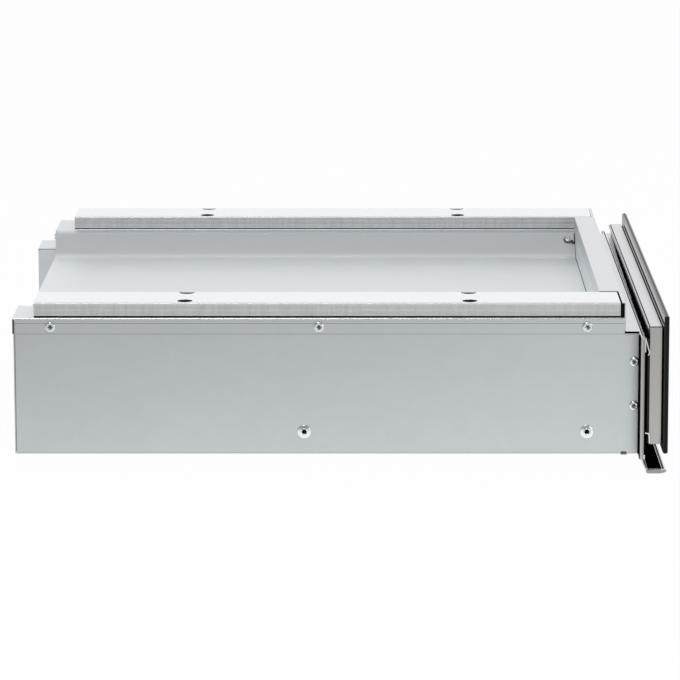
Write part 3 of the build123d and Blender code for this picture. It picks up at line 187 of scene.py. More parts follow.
def woven(grid: np.ndarray, closed_ring: bool = True, closed_path: bool = False, caps: bool = True) -> Mesh:
    """Joins a grid of rings into quads, with a flat cap on each end of an open path.

    Args:
        grid: Rings by points by 3.
        closed_ring: Whether each ring's last point joins its first.
        closed_path: Whether the last ring joins the first.
        caps: Whether an open path's end rings are closed by one face each.

    Returns:
        Vertices and faces.
    """
    rings, points = grid.shape[:2]
    index = np.arange(rings * points).reshape(rings, points)
    path = index if not closed_path else np.concatenate([index, index[:1]])
    loop = path if not closed_ring else np.concatenate([path, path[:, :1]], axis=1)
    quads = np.stack([loop[:-1, :-1], loop[:-1, 1:], loop[1:, 1:], loop[1:, :-1]], axis=-1).reshape(-1, 4)
    faces = quads.tolist()
    if caps and closed_ring and not closed_path:
        faces += [index[0][::-1].tolist(), index[-1].tolist()]
    return grid.reshape(-1, 3), faces


def plated(grid: np.ndarray, thickness: float) -> Mesh:
    """Sheet with a thickness under a grid of surface points.

    The lower point of each place is the upper one minus the thickness times the surface's unit
    normal, which is the cross product of the grid's two directions, turned away from the origin.

    Args:
        grid: Rows by points by 3, the sheet's upper side.
        thickness: How thick the sheet is.

    Returns:
        Vertices and faces of the closed sheet.
    """
    normal = np.cross(np.gradient(grid, axis=0), np.gradient(grid, axis=1))
    normal /= np.maximum(np.linalg.norm(normal, axis=2, keepdims=True), TINY)
    normal *= np.sign((normal * grid).sum())
    return woven(np.concatenate([grid, (grid - thickness * normal)[:, ::-1]], axis=1))


def bar(outline: np.ndarray, axis: Axis, low: float, high: float, soft: float = 0.0) -> Mesh:
    """Closed outline carried straight along an axis, with its end edges rounded."""
    if soft:
        return woven(carried(outline, axis, *soft_ends(low, high, soft)))
    return woven(carried(outline, axis, np.array([low, high])))


def slab(x: tuple, y: tuple, z: tuple, soft: float) -> Mesh:
    """Box between its limits along X, Y and Z, with all its edges rounded."""
    corners = [(x[0], y[0]), (x[1], y[0]), (x[1], y[1]), (x[0], y[1])]
    return bar(rounded(corners, [soft] * 4, closed=True, steps=4), Axis.Z, z[0], z[1], soft)


def sided(side: int, first: float, second: float) -> list[float]:
    """Two distances from the middle as X limits on one side of it, the lower one first."""
    return sorted((side * first, side * second))


def around(direction: tuple, steps: int) -> tuple[np.ndarray, np.ndarray, np.ndarray]:
    """Unit axis along a direction, evenly spaced angles, and the unit circle across it at them."""
    axis = np.array(direction, float) / np.linalg.norm(direction)
    side = np.cross(axis, (0.0, 0.0, 1.0) if abs(axis[2]) < 0.9 else (1.0, 0.0, 0.0))
    side = side / np.linalg.norm(side)
    angle = np.linspace(0, 2 * math.pi, steps, endpoint=False)
    circle = np.cos(angle)[:, None] * side + np.sin(angle)[:, None] * np.cross(axis, side)
    return axis, angle, circle


def turned(profile: np.ndarray, point: tuple, direction: tuple, steps: int = 32) -> Mesh:
    """Profile of (radius, height) turned round a line through a point.

    Each surface point is the base point plus the height along the line plus the radius times
    (cos, sin) of the angle in the plane across it.

    Args:
        profile: Radius and height of each point along the profile.
        point: Where height is 0.
        direction: The way that height grows.
        steps: Points round the circle.

    Returns:
        Vertices and faces; a radius of 0 at either end closes there.
    """
    axis, _, circle = around(direction, steps)
    radius, height = profile[:, 0][:, None, None], profile[:, 1][:, None, None]
    return woven(np.array(point) + height * axis + radius * circle)


def frame_ring(outer: tuple, inner: tuple, section: np.ndarray) -> Mesh:
    """Upright rectangular ring with mitred corners.

    A point's share runs from 0 on the outer rectangle to 1 on the inner one, and its place is
    the mix of the two rectangles' corners by that share.

    Args:
        outer: Left, right, bottom and top of the outer rectangle.
        inner: The same of the inner rectangle.
        section: Closed section as rows of share and Y.

    Returns:
        Vertices and faces.
    """
    corners = [(0, 2), (1, 2), (1, 3), (0, 3)]
    outer_xz = np.array([[outer[i], outer[j]] for i, j in corners])
    inner_xz = np.array([[inner[i], inner[j]] for i, j in corners])
    share = section[:, 0][None, :, None]
    place = outer_xz[:, None] * (1 - share) + inner_xz[:, None] * share
    depth = np.broadcast_to(section[:, 1][None, :, None], place.shape[:2] + (1,))
    return woven(np.concatenate([place[..., :1], depth, place[..., 1:]], axis=-1), closed_path=True)


def joined(meshes: list) -> Mesh:
    """Several meshes as one, with their faces' indices shifted."""
    points, faces, start = [], [], 0
    for vertices, own in meshes:
        points.append(vertices)
        faces += [[start + i for i in face] for face in own]
        start += len(vertices)
    return np.concatenate(points), faces


# --- Pieces ---------------------------------------------------------------------------------------
def placed(name: str, data: bpy.types.ID) -> bpy.types.Object:
    """New object of some data, linked into the scene."""
    made = bpy.data.objects.new(name, data)
    bpy.context.scene.collection.objects.link(made)
    return made


def baked(source: bpy.types.Object) -> bpy.types.Mesh:
    """Mesh of an object as its modifiers leave it."""
    return bpy.data.meshes.new_from_object(source.evaluated_get(bpy.context.evaluated_depsgraph_get()))


@dataclass(frozen=True)
class Soften:
    """Bevel that a piece's sharp edges get: its width, its segments and the angle it starts at."""

    width: float = 0.25 * MM
    segments: int = 2
    angle: float = 35.0


class Workshop:
    """Turns meshes into named pieces that ride on a body, and keeps the finishes at hand."""

    def __init__(self, finishes: "Finishes") -> None:
        """Keeps the finishes that pieces are dressed in."""
        self.finishes = finishes

    def dress(self, piece: bpy.types.Object, finish: "Finish", soften: Soften | None) -> None:
        """Gives a piece its material, smooth faces with sharp folds, and its bevel."""
        piece.data.materials.clear()
        piece.data.materials.append(self.finishes.material(finish))
        piece.data.shade_smooth()
        piece.data.set_sharp_from_angle(angle=math.radians(SHARP_ANGLE))
        if soften:
            bevel = piece.modifiers.new("soft_edges", "BEVEL")
            bevel.width = soften.width
            bevel.segments = soften.segments
            bevel.limit_method = "ANGLE"
            bevel.angle_limit = math.radians(soften.angle)
            bevel.harden_normals = False
        flat = piece.modifiers.new("even_faces", "WEIGHTED_NORMAL")
        flat.keep_sharp = True

    @staticmethod
    def mesh(name: str, shape: Mesh) -> bpy.types.Mesh:
        """Mesh data of a shape, with points that coincide merged and faces turned outwards."""
        data = bpy.data.meshes.new(name)
        data.from_pydata(shape[0].tolist(), [], shape[1])
        work = bmesh.new()
        work.from_mesh(data)
        bmesh.ops.remove_doubles(work, verts=work.verts, dist=MERGE)
        bmesh.ops.dissolve_degenerate(work, edges=work.edges, dist=SLIVER)
        bmesh.ops.recalc_face_normals(work, faces=work.faces)
        work.to_mesh(data)
        work.free()
        return data

    def piece(self, name: str, mesh: Mesh, finish: "Finish", body: str, replaces: tuple = (),
              soften: Soften | None = None) -> bpy.types.Object:
        """Makes one piece of the object.

        Args:
            name: The piece's name.
            mesh: Vertices in place, and faces.
            finish: What it is made of.
            body: The body that carries it.
            replaces: Nodes that it stands for.
            soften: Bevel of its sharp edges.

        Returns:
            The new object.
        """
        data = self.mesh(name, mesh)
        made = placed(name, data)
        self.dress(made, finish, soften)
        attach(made, body)
        if replaces:
            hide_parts(*replaces)
        LOG.info("%s: %d faces on %s", name, len(data.polygons), body)
        return made

    def softened(self, node: str, finish: "Finish", body: str, soften: Soften = Soften()) -> bpy.types.Object:
        """Copy of a node's mesh, merged and cleared of flat triangles, with its edges bevelled."""
        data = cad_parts[node].data.copy()
        data.name = f"{node}_finished"
        work = bmesh.new()
        work.from_mesh(data)
        bmesh.ops.remove_doubles(work, verts=work.verts, dist=NEAR)
        bmesh.ops.dissolve_limit(work, angle_limit=math.radians(1), verts=work.verts, edges=work.edges)
        work.to_mesh(data)
        work.free()
        made = placed(f"{node}_finished", data)
        self.dress(made, finish, soften)
        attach(made, body)
        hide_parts(node)
        LOG.info("%s: %d faces on %s", made.name, len(data.polygons), body)
        return made

    def cut(self, piece: bpy.types.Object, cutter: Mesh) -> None:
        """Takes a mesh's space out of a piece, for good."""
        tool = placed("cutter", self.mesh("cutter", cutter))
        step = piece.modifiers.new("cut", "BOOLEAN")
        step.operation = "DIFFERENCE"
        step.solver = "EXACT"
        step.object = tool
        piece.modifiers.move(len(piece.modifiers) - 1, 0)
        later = [m for m in piece.modifiers if m.name != "cut"]
        for modifier in later:
            modifier.show_viewport = False
        result = baked(piece)
        for modifier in later:
            modifier.show_viewport = True
        piece.modifiers.remove(step)
        old = piece.data
        result.name = old.name
        piece.data = result
        bpy.data.meshes.remove(old)
        bpy.data.objects.remove(tool)


# --- Finishes: shader groups ----------------------------------------------------------------------
class Effect(Enum):
    """Shader groups that several finishes share."""

    SPANGLE = "zinc_spangle"
    GRAIN = "rolling_grain"
    DUST = "settled_dust"
    HANDLING = "handling_marks"


def new_group(name: str, inputs: dict, outputs: dict) -> tuple:
    """Empty shader group with its sockets.

    Args:
        name: The group's name.
        inputs: Socket name to kind and starting value.
        outputs: Socket name to kind.

    Returns:
        The group, its input node and its output node.
    """
    group = bpy.data.node_groups.new(name, "ShaderNodeTree")
    for label, (kind, value) in inputs.items():
        socket = group.interface.new_socket(label, in_out="INPUT", socket_type=kind)
        if value is not None:
            socket.default_value = value
    for label, kind in outputs.items():
        group.interface.new_socket(label, in_out="OUTPUT", socket_type=kind)
    return group, group.nodes.new("NodeGroupInput"), group.nodes.new("NodeGroupOutput")


def node(tree: bpy.types.NodeTree, kind: str, links: dict | None = None, **settings) -> bpy.types.Node:
    """New node: settings are its properties, and links give each input a value or a socket."""
    made = tree.nodes.new(kind)
    for key, value in settings.items():
        setattr(made, key, value)
    for key, value in (links or {}).items():
        socket = made.inputs[key]
        if isinstance(value, bpy.types.NodeSocket):
            tree.links.new(value, socket)
        else:
            socket.default_value = value
    return made


def maths(tree: bpy.types.NodeTree, operation: str, *values, clamp: bool = False) -> bpy.types.NodeSocket:
    """Result of a Math node whose inputs are values or sockets."""
    return node(tree, "ShaderNodeMath", dict(enumerate(values)), operation=operation,
                use_clamp=clamp).outputs[0]


def noise(tree: bpy.types.NodeTree, place, scale, detail: float, rough: float = 0.5) -> bpy.types.Node:
    """Noise texture; its place and its scale are values or sockets."""
    return node(tree, "ShaderNodeTexNoise",
                {"Vector": place, "Scale": scale, "Detail": detail, "Roughness": rough})


def mapped(tree: bpy.types.NodeTree, value: bpy.types.NodeSocket, span: tuple, into: tuple = (0.0, 1.0),
           curve: str = "LINEAR") -> bpy.types.NodeSocket:
    """A value whose span is stretched into another one, and held within it."""
    return node(tree, "ShaderNodeMapRange",
                {"Value": value, "From Min": span[0], "From Max": span[1], "To Min": into[0],
                 "To Max": into[1]}, interpolation_type=curve).outputs[0]


def build_spangle() -> bpy.types.NodeTree:
    """Zinc crystals: cells of slightly different tone under a soft cloud of two noises."""
    group, given, result = new_group(
        Effect.SPANGLE.value,
        {"Vector": ("NodeSocketVector", None), "Cells": ("NodeSocketFloat", 90.0)},
        {"Tone": "NodeSocketFloat", "Height": "NodeSocketFloat"},
    )
    crystal_share, cloud_share, speck_share = 0.22, 0.5, 0.28
    place = given.outputs["Vector"]
    warp = noise(group, place, 60.0, 2.0).outputs["Color"]
    bent = node(group, "ShaderNodeMix", {0: 0.012, 4: place, 5: warp}, data_type="VECTOR").outputs[1]
    cells = node(group, "ShaderNodeTexVoronoi", {"Vector": bent, "Scale": given.outputs["Cells"]})
    tone = node(group, "ShaderNodeSeparateColor", {"Color": cells.outputs["Color"]}).outputs[0]
    clouds = noise(group, place, 9.0, 4.0, 0.6).outputs["Fac"]
    speck = noise(group, place, 420.0, 3.0).outputs["Fac"]
    total = maths(group, "MULTIPLY_ADD", clouds, cloud_share, maths(group, "MULTIPLY", tone, crystal_share))
    total = maths(group, "MULTIPLY_ADD", speck, speck_share, total)
    group.links.new(total, result.inputs["Tone"])
    group.links.new(speck, result.inputs["Height"])
    return group


def build_grain() -> bpy.types.NodeTree:
    """Fine parallel lines: noise that is stretched along the sheet's rolling direction."""
    group, given, result = new_group(
        Effect.GRAIN.value,
        {"Vector": ("NodeSocketVector", None), "Along": ("NodeSocketVector", (1.0, 1.0, 1.0)),
         "Scale": ("NodeSocketFloat", 300.0)},
        {"Line": "NodeSocketFloat"},
    )
    squeezed = node(group, "ShaderNodeVectorMath", {0: given.outputs["Vector"], 1: given.outputs["Along"]},
                    operation="MULTIPLY")
    line = noise(group, squeezed.outputs[0], given.outputs["Scale"], 5.0, 0.7)
    group.links.new(line.outputs["Fac"], result.inputs["Line"])
    return group


def build_dust() -> bpy.types.NodeTree:
    """Mask of level faces, broken by noise, where a little dust lies."""
    group, given, result = new_group(
        Effect.DUST.value,
        {"Vector": ("NodeSocketVector", None), "Amount": ("NodeSocketFloat", 0.1)},
        {"Mask": "NodeSocketFloat"},
    )
    normal = node(group, "ShaderNodeNewGeometry").outputs["Normal"]
    rise = node(group, "ShaderNodeSeparateXYZ", {"Vector": normal}).outputs["Z"]
    level = maths(group, "POWER", rise, 2.0, clamp=True)
    blots = noise(group, given.outputs["Vector"], 35.0, 6.0, 0.65)
    patches = mapped(group, blots.outputs["Fac"], (0.42, 0.72))
    lying = maths(group, "MULTIPLY", level, patches)
    mask = maths(group, "MULTIPLY", lying, given.outputs["Amount"])
    group.links.new(mask, result.inputs["Mask"])
    return group


def build_handling() -> bpy.types.NodeTree:
    """Faint rubbed patches and short scratches left by handling."""
    group, given, result = new_group(
        Effect.HANDLING.value,
        {"Vector": ("NodeSocketVector", None), "Amount": ("NodeSocketFloat", 0.2)},
        {"Mask": "NodeSocketFloat"},
    )
    scratch_share = 0.6
    place = given.outputs["Vector"]
    stretched = node(group, "ShaderNodeMapping",
                     {"Vector": place, "Rotation": (0.4, 0.7, 0.5), "Scale": (4.0, 70.0, 90.0)}).outputs[0]
    scratches = mapped(group, noise(group, stretched, 6.0, 3.0).outputs["Fac"], (0.68, 0.74))
    rubbed = mapped(group, noise(group, place, 14.0, 5.0).outputs["Fac"], (0.5, 0.75))
    both = maths(group, "MULTIPLY_ADD", scratches, scratch_share, rubbed)
    mask = maths(group, "MULTIPLY", both, given.outputs["Amount"])
    group.links.new(mask, result.inputs["Mask"])
    return group


# --- Finishes: materials --------------------------------------------------------------------------
@dataclass(frozen=True)
class Look:
    """What a surface is made of and how it is finished.

    Attributes:
        slot: The record's material slot.
        colour: Colour in daylight.
        second: Colour that the pattern mixes in.
        metal: 1 for bare metal, 0 for paint, glass, rubber and plastic.
        rough: Lowest and highest roughness.
        along: How the grain is stretched; a small number lies along the lines.
        grain: How strongly the lines show, in colour and in relief.
        grain_scale: How fine the lines are.
        spangle: How strongly zinc crystals show.
        cells: How fine the crystals are.
        dust: How much dust lies on level faces.
        marks: How strongly handling shows.
        relief: Height of the surface's texture in metres.
        specular: Gloss of what isn't metal.
        coat: Clear layer's weight.
    """

    slot: str
    colour: Colour
    second: Colour
    metal: float = 1.0
    rough: tuple[float, float] = (0.3, 0.45)
    along: Colour = (1.0, 1.0, 1.0)
    grain: float = 0.0
    grain_scale: float = 300.0
    spangle: float = 0.0
    cells: float = 90.0
    dust: float = 0.0
    marks: float = 0.1
    relief: float = 0.00002
    specular: float = 0.5
    coat: float = 0.0


ALONG_X = (0.004, 1.0, 1.0)
ALONG_Y = (1.0, 0.004, 1.0)
ALONG_Z = (1.0, 1.0, 0.004)


class Finish(Enum):
    """Every finish on the object."""

    GALVANISED = Look("galvanised_steel", (0.68, 0.72, 0.745), (0.57, 0.61, 0.63), metal=0.9,
                      rough=(0.34, 0.44), along=ALONG_Y, grain=0.12, spangle=0.45, dust=0.03, marks=0.15,
                      relief=0.000006)
    # A lighter copy of the galvanised steel: painted light on faces lit from above, on the cover's top and
    # rear hems, the terminal box and the rails' foot beads.
    COVER_SHEET = Look("galvanised_steel", (0.87, 0.905, 0.93), (0.78, 0.815, 0.835), metal=0.85,
                       rough=(0.42, 0.52), along=ALONG_Y, grain=0.12, spangle=0.4, dust=0.02, marks=0.12,
                       relief=0.000004)
    PALE_SHEET = Look("galvanised_steel", (0.74, 0.75, 0.785), (0.67, 0.68, 0.71), metal=0.9,
                      rough=(0.3, 0.4), along=ALONG_X, grain=0.08, spangle=0.3, relief=0.000006)
    RAIL_SKIN = Look("white_aluminium", (0.90, 0.925, 0.95), (0.83, 0.86, 0.89), metal=0.85,
                     rough=(0.26, 0.34), along=ALONG_Y, grain=0.3, grain_scale=260.0, dust=0.02,
                     marks=0.08, relief=0.0)
    RAIL_CORE = Look("white_aluminium", (0.86, 0.865, 0.865), (0.42, 0.43, 0.43), metal=0.5,
                     rough=(0.5, 0.62), along=(1.0, 1.0, 0.12), grain=0.7, grain_scale=260.0,
                     spangle=0.2, cells=700.0, marks=0.05, relief=0.00003)
    STAINLESS = Look("stainless_steel", (0.65, 0.64, 0.665), (0.56, 0.55, 0.57), rough=(0.26, 0.34),
                     along=ALONG_X, grain=0.2, grain_scale=380.0, relief=0.00001)
    # A darker, warmer copy of the stainless steel, brushed along Z: painted shade on end faces turned away
    # from the top light.
    DOOR_EDGE = Look("stainless_steel", (0.54, 0.53, 0.505), (0.42, 0.415, 0.40), rough=(0.32, 0.42),
                     along=ALONG_Z, grain=0.6, grain_scale=420.0, relief=0.00001)
    BRIGHT = Look("bright_steel", (0.74, 0.74, 0.74), (0.58, 0.58, 0.60), rough=(0.14, 0.22),
                  along=ALONG_X, grain=0.15, relief=0.000006)
    ZINC = Look("zinc_screw", (0.90, 0.91, 0.92), (0.74, 0.75, 0.77), rough=(0.2, 0.3), spangle=0.2,
                cells=500.0, marks=0.2)
    BLACK_GLASS = Look("black_glass", (0.014, 0.014, 0.016), (0.018, 0.018, 0.02), metal=0.0,
                       rough=(0.03, 0.09), marks=0.12, relief=0.0, specular=0.3)
    GLASS_EDGE = Look("black_glass", (0.010, 0.010, 0.010), (0.019, 0.019, 0.020), metal=0.0,
                      rough=(0.35, 0.45), marks=0.2, relief=0.0, specular=0.1)
    # A darker copy of the bright steel: painted shade on end faces, and on the dark line along the side
    # panels' lower edge.
    SEAL_END = Look("bright_steel", (0.37, 0.365, 0.355), (0.27, 0.27, 0.265), rough=(0.3, 0.4),
                    along=ALONG_Z, grain=0.4, grain_scale=380.0, relief=0.00001)
    PLATE_GLASS = Look("plate_glass", (0.022, 0.022, 0.025), (0.03, 0.03, 0.033), metal=0.0,
                       rough=(0.06, 0.14), marks=0.2, relief=0.0, dust=0.03)
    RUBBER = Look("black_rubber", (0.008, 0.008, 0.009), (0.014, 0.014, 0.015), metal=0.0,
                  rough=(0.55, 0.75), spangle=0.2, cells=900.0, relief=0.00005, specular=0.12)
    SEAL = Look("black_rubber", (0.003, 0.0035, 0.005), (0.010, 0.012, 0.018), metal=0.0,
                rough=(0.5, 0.65), along=ALONG_X, grain=0.1, specular=0.0)
    SILICONE = Look("black_rubber", (0.050, 0.038, 0.036), (0.034, 0.027, 0.026), metal=0.0,
                    rough=(0.5, 0.65), along=ALONG_Z, grain=0.2, specular=0.05)
    SHADE = Look("zinc_screw", (0.13, 0.13, 0.135), (0.08, 0.08, 0.085), metal=0.9, rough=(0.4, 0.5),
                 spangle=0.3, cells=500.0, relief=0.0)
    # Black foam and bonding; the same black also stands as painted shade in gaps, holes, recesses and under
    # edges.
    FOAM = Look("black_rubber", (0.006, 0.006, 0.007), (0.010, 0.010, 0.011), metal=0.0,
                rough=(0.9, 1.0), spangle=0.4, cells=1200.0, relief=0.0001, specular=0.0)
    BLACK_PLASTIC = Look("black_plastic", (0.022, 0.022, 0.024), (0.03, 0.03, 0.032), metal=0.0,
                         rough=(0.42, 0.55), spangle=0.3, cells=1400.0, marks=0.15, relief=0.00004,
                         specular=0.35)
    GREY_PLASTIC = Look("grey_plastic", (0.30, 0.31, 0.32), (0.26, 0.27, 0.28), metal=0.0,
                        rough=(0.4, 0.52), spangle=0.2, cells=1400.0, relief=0.00003)
    INSULATION = Look("insulation", (0.62, 0.56, 0.44), (0.48, 0.42, 0.31), metal=0.0, rough=(0.9, 1.0),
                      along=(1.0, 0.25, 1.0), grain=0.6, grain_scale=160.0, spangle=0.6, cells=240.0,
                      relief=0.0006, specular=0.1)
    FOIL = Look("heater_foil", (0.66, 0.66, 0.68), (0.52, 0.52, 0.54), rough=(0.2, 0.34), spangle=0.8,
                cells=120.0, relief=0.0003)
    ELEMENT = Look("element_steel", (0.16, 0.145, 0.13), (0.10, 0.085, 0.09), metal=0.9,
                   rough=(0.38, 0.55), spangle=0.5, cells=60.0, marks=0.3)
    LENS = Look("indicator_red", (0.30, 0.012, 0.010), (0.22, 0.008, 0.008), metal=0.0,
                rough=(0.08, 0.16), coat=0.4, marks=0.05, relief=0.0)
    PRINT = Look("white_aluminium", (0.78, 0.78, 0.76), (0.70, 0.70, 0.69), metal=0.0,
                 rough=(0.45, 0.55), relief=0.0)


class Finishes:
    """Builds each finish's material once, and the shader groups before them."""

    def __init__(self) -> None:
        """Makes the shader groups."""
        self.groups = {
            Effect.SPANGLE: build_spangle(), Effect.GRAIN: build_grain(), Effect.DUST: build_dust(),
            Effect.HANDLING: build_handling(),
        }
        self.made: dict[Finish, bpy.types.Material] = {}

    def material(self, finish: Finish) -> bpy.types.Material:
        """The finish's material, made on its first use."""
        if finish not in self.made:
            self.made[finish] = self.build(finish)
        return self.made[finish]

    def build(self, finish: Finish) -> bpy.types.Material:
        """Material of one finish: colour, roughness and relief from the shared groups."""
        look = finish.value
        line_share, bump_strength = 0.6, 0.35
        material = bpy.data.materials.new(finish.name.lower())
        material.use_nodes = True
        tree = material.node_tree
        shader = tree.nodes["Principled BSDF"]
        place = node(tree, "ShaderNodeTexCoord").outputs["Object"]

        spangle = self.place_group(tree, Effect.SPANGLE, {"Vector": place, "Cells": look.cells})
        grain = self.place_group(tree, Effect.GRAIN,
                                 {"Vector": place, "Along": look.along, "Scale": look.grain_scale})
        marks = self.place_group(tree, Effect.HANDLING, {"Vector": place, "Amount": look.marks})
        dust = self.place_group(tree, Effect.DUST, {"Vector": place, "Amount": look.dust})
        pattern = maths(tree, "MULTIPLY", spangle.outputs["Tone"], look.spangle)
        lines = maths(tree, "MULTIPLY_ADD", grain.outputs["Line"], look.grain, pattern, clamp=True)
        base = node(tree, "ShaderNodeMix", {0: lines, 6: (*look.colour, 1), 7: (*look.second, 1)},
                    data_type="RGBA")
        dusty = node(tree, "ShaderNodeMix", {0: dust.outputs["Mask"], 6: base.outputs[2], 7: DUST_COLOUR},
                     data_type="RGBA")
        rub = maths(tree, "ADD", marks.outputs["Mask"], dust.outputs["Mask"], clamp=True)
        mixed = maths(tree, "MULTIPLY_ADD", lines, line_share, rub, clamp=True)
        rough = mapped(tree, mixed, (0.0, 1.0), look.rough)
        tree.links.new(dusty.outputs[2], shader.inputs["Base Color"])
        tree.links.new(rough, shader.inputs["Roughness"])
        shader.inputs["Metallic"].default_value = look.metal
        shader.inputs["Specular IOR Level"].default_value = look.specular
        shader.inputs["Coat Weight"].default_value = look.coat
        if look.relief:
            height = maths(tree, "ADD", grain.outputs["Line"], spangle.outputs["Height"])
            bump = node(tree, "ShaderNodeBump",
                        {"Height": height, "Strength": bump_strength, "Distance": look.relief})
            tree.links.new(bump.outputs[0], shader.inputs["Normal"])
        return material

    def place_group(self, tree: bpy.types.NodeTree, effect: Effect, links: dict) -> bpy.types.Node:
        """Puts a shared group into a material with its own values."""
        return node(tree, "ShaderNodeGroup", links, node_tree=self.groups[effect])


# --- Casing ---------------------------------------------------------------------------------------
@dataclass
class Casing:
    """Cover with its pressed trough, side panels, base and rear panel."""

    shop: Workshop
    sheet: float = 0.8 * MM
    trough_half: float = 214 * MM
    floor_half: float = 186 * MM
    trough_drop: float = 23 * MM
    trough_front: float = -242 * MM
    lower_bend: float = 22 * MM
    upper_bend: float = 20 * MM
    edge_bend: float = 1.0 * MM
    crease: float = 4.6 * MM
    step: float = 0.35 * MM
    flange: float = 14 * MM
    front_bend: float = 0.2 * MM
    gap_line: float = 0.3 * MM
    edge_line: float = 0.55 * MM
    hem_soft: float = 0.2 * MM
    lid_proud: float = 0.05 * MM
    nub_y: tuple[float, float] = (9.9 * MM, 15.5 * MM)     # behind the side panel's front edge
    nub_z: tuple[float, float] = (-1.1 * MM, 2 * MM)

    def cover_line(self, side_x: float, low: float, top: float) -> np.ndarray:
        """Right half of the cover's upper face across the body, from the middle outwards."""
        floor, crease = top - self.trough_drop, top - self.crease
        inner = side_x - self.step
        points = [(0, floor), (self.floor_half, floor), (self.trough_half, top), (side_x, top),
                  (side_x, crease), (inner, crease - 0.1 * MM), (inner, low)]
        radii = [0, self.lower_bend, self.upper_bend, self.edge_bend, 0, 0, 0]
        return rounded(points, radii, steps=9)

    def cover(self) -> None:
        """Top cover: its line across the body is pushed up to the ledge's level ahead of the trough."""
        low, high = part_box("top_cover")
        right = self.cover_line(high.x, high.z - self.flange, high.z)
        line = np.concatenate([right[::-1] * (-1, 1), right[1:]])
        rear_end = high.y - self.edge_bend
        front = rounded([(low.y, 0), (self.trough_front, 0), (self.trough_front, 1), (rear_end, 1)],
                        [0, self.front_bend, self.front_bend, 0], steps=4)
        inside = np.abs(line[:, 0]) < self.trough_half + self.upper_bend
        raised = np.where(inside, high.z, line[:, 1])
        share = front[:, 1][:, None]
        level = raised[None] * (1 - share) + line[None, :, 1] * share
        grid = np.stack([np.broadcast_to(line[:, 0], level.shape),
                         np.broadcast_to(front[:, :1], level.shape), level], axis=-1)
        flat = int(np.argmax(-line[:, 0] <= high.x - self.edge_bend + NEAR))
        fall = int(np.argmax(line[:, 1] >= high.z - self.edge_bend - NEAR))
        # The top is in a lighter copy of the galvanised steel, painted light from above; the edge bends are
        # in the brighter, glossier rail finish for a painted highlight line; the flanges keep plain
        # galvanised steel.
        for word, parts, finish, nodes in (
            ("sheet", [grid[:, flat:len(line) - flat]], Finish.COVER_SHEET, ("top_cover",)),
            ("edges", [grid[:, fall:flat + 1], grid[:, -flat - 1:-fall]], Finish.RAIL_SKIN, ()),
            ("flanges", [grid[:, :fall + 1], grid[:, -fall - 1:]], Finish.GALVANISED, ()),
        ):
            mesh = joined([plated(part, self.sheet) for part in parts])
            self.shop.piece(f"cover_{word}", mesh, finish, "cabinet", nodes)
        rear = rounded([(rear_end, high.z), (high.y, high.z), (high.y, high.z - self.flange)],
                       [0, self.edge_bend, 0])
        outline = strip(rear, self.sheet)
        hems = [bar(outline, Axis.X, *sided(side, self.trough_half, high.x - self.hem_soft), self.hem_soft)
                for side in (-1, 1)]
        self.shop.piece("cover_rear_hems", joined(hems), Finish.COVER_SHEET, "cabinet")
        self.seams(line, low.y, high)

    def seams(self, line: np.ndarray, front: float, high: tuple) -> None:
        """Painted shade: dark lines under the flange's band, at its lower edge and in the trough, and dark
        strips at the rear corners.

        Args:
            line: The cover's upper face across the body.
            front: The cover's front limit.
            high: Its highest corner.
        """
        joints, corners = [], []
        for side in (-1, 1):
            for level, depth in ((high.z - self.crease, self.step), (high.z - self.flange, self.sheet)):
                face = high.x - depth
                joints.append(slab(sided(side, face - 0.3 * MM, face + 0.06 * MM), (front, high.y - 2 * MM),
                                   (level - self.gap_line, level), HAIR))
            corners.append(slab(sided(side, high.x - 0.4 * MM, high.x + HAIR),
                                (high.y - 1.9 * MM, high.y - 0.05 * MM),
                                (high.z - self.flange, high.z - 1.4 * MM), 0.1 * MM))
        across = line[np.abs(line[:, 0]) < self.trough_half - 4 * MM]
        joints.append(bar(strip(across, -0.35 * MM), Axis.Y, self.trough_front - 0.1 * MM,
                          self.trough_front + 0.45 * MM))
        self.shop.piece("cover_shade_lines", joined(joints), Finish.FOAM, "cabinet")
        self.shop.piece("cover_corner_shade", joined(corners), Finish.SHADE, "cabinet")

    def side_panels(self) -> None:
        """Side panels with a rounded outline, a locating nub below, a dark line of painted shade at the lower
        edge and a dark line at the rear edge.
        """
        notch_y, notch_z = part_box("top_cover")[0].y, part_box("front_frame")[1].z - MM
        for side, word in ((-1, "left"), (1, "right")):
            low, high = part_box(f"side_panel_{word}")
            corners = [(low.y, low.z), (high.y, low.z), (high.y, high.z), (notch_y, high.z),
                       (notch_y, notch_z), (low.y, notch_z)]
            outline = rounded(corners, [0.6 * MM, 0.6 * MM, 0, 0.3 * MM, 0.5 * MM, 0.6 * MM], closed=True)
            self.shop.piece(f"side_sheet_{word}", bar(outline, Axis.X, low.x, high.x, 0.3 * MM),
                            Finish.GALVANISED, "cabinet", (f"side_panel_{word}",))
            nub = slab((low.x, high.x), [low.y + reach for reach in self.nub_y], self.nub_z, 0.25 * MM)
            self.shop.piece(f"side_nub_{word}", nub, Finish.ELEMENT, "cabinet")
            face = low.x if side < 0 else high.x
            x = sorted((face - side * 0.3 * MM, face + side * PROUD))
            seam_y = high.y - MM
            # Painted shade: a dark line along the panel's lower edge.
            lower = slab(x, (low.y + 2 * MM, high.y - 2 * MM), (0.0, self.edge_line), LINE)
            seam = slab(x, (seam_y - self.edge_line, seam_y), (2 * MM, notch_z), LINE)
            self.shop.piece(f"side_lower_shade_line_{word}", lower, Finish.SEAL_END, "cabinet")
            self.shop.piece(f"side_rear_seam_{word}", seam, Finish.SHADE, "cabinet")

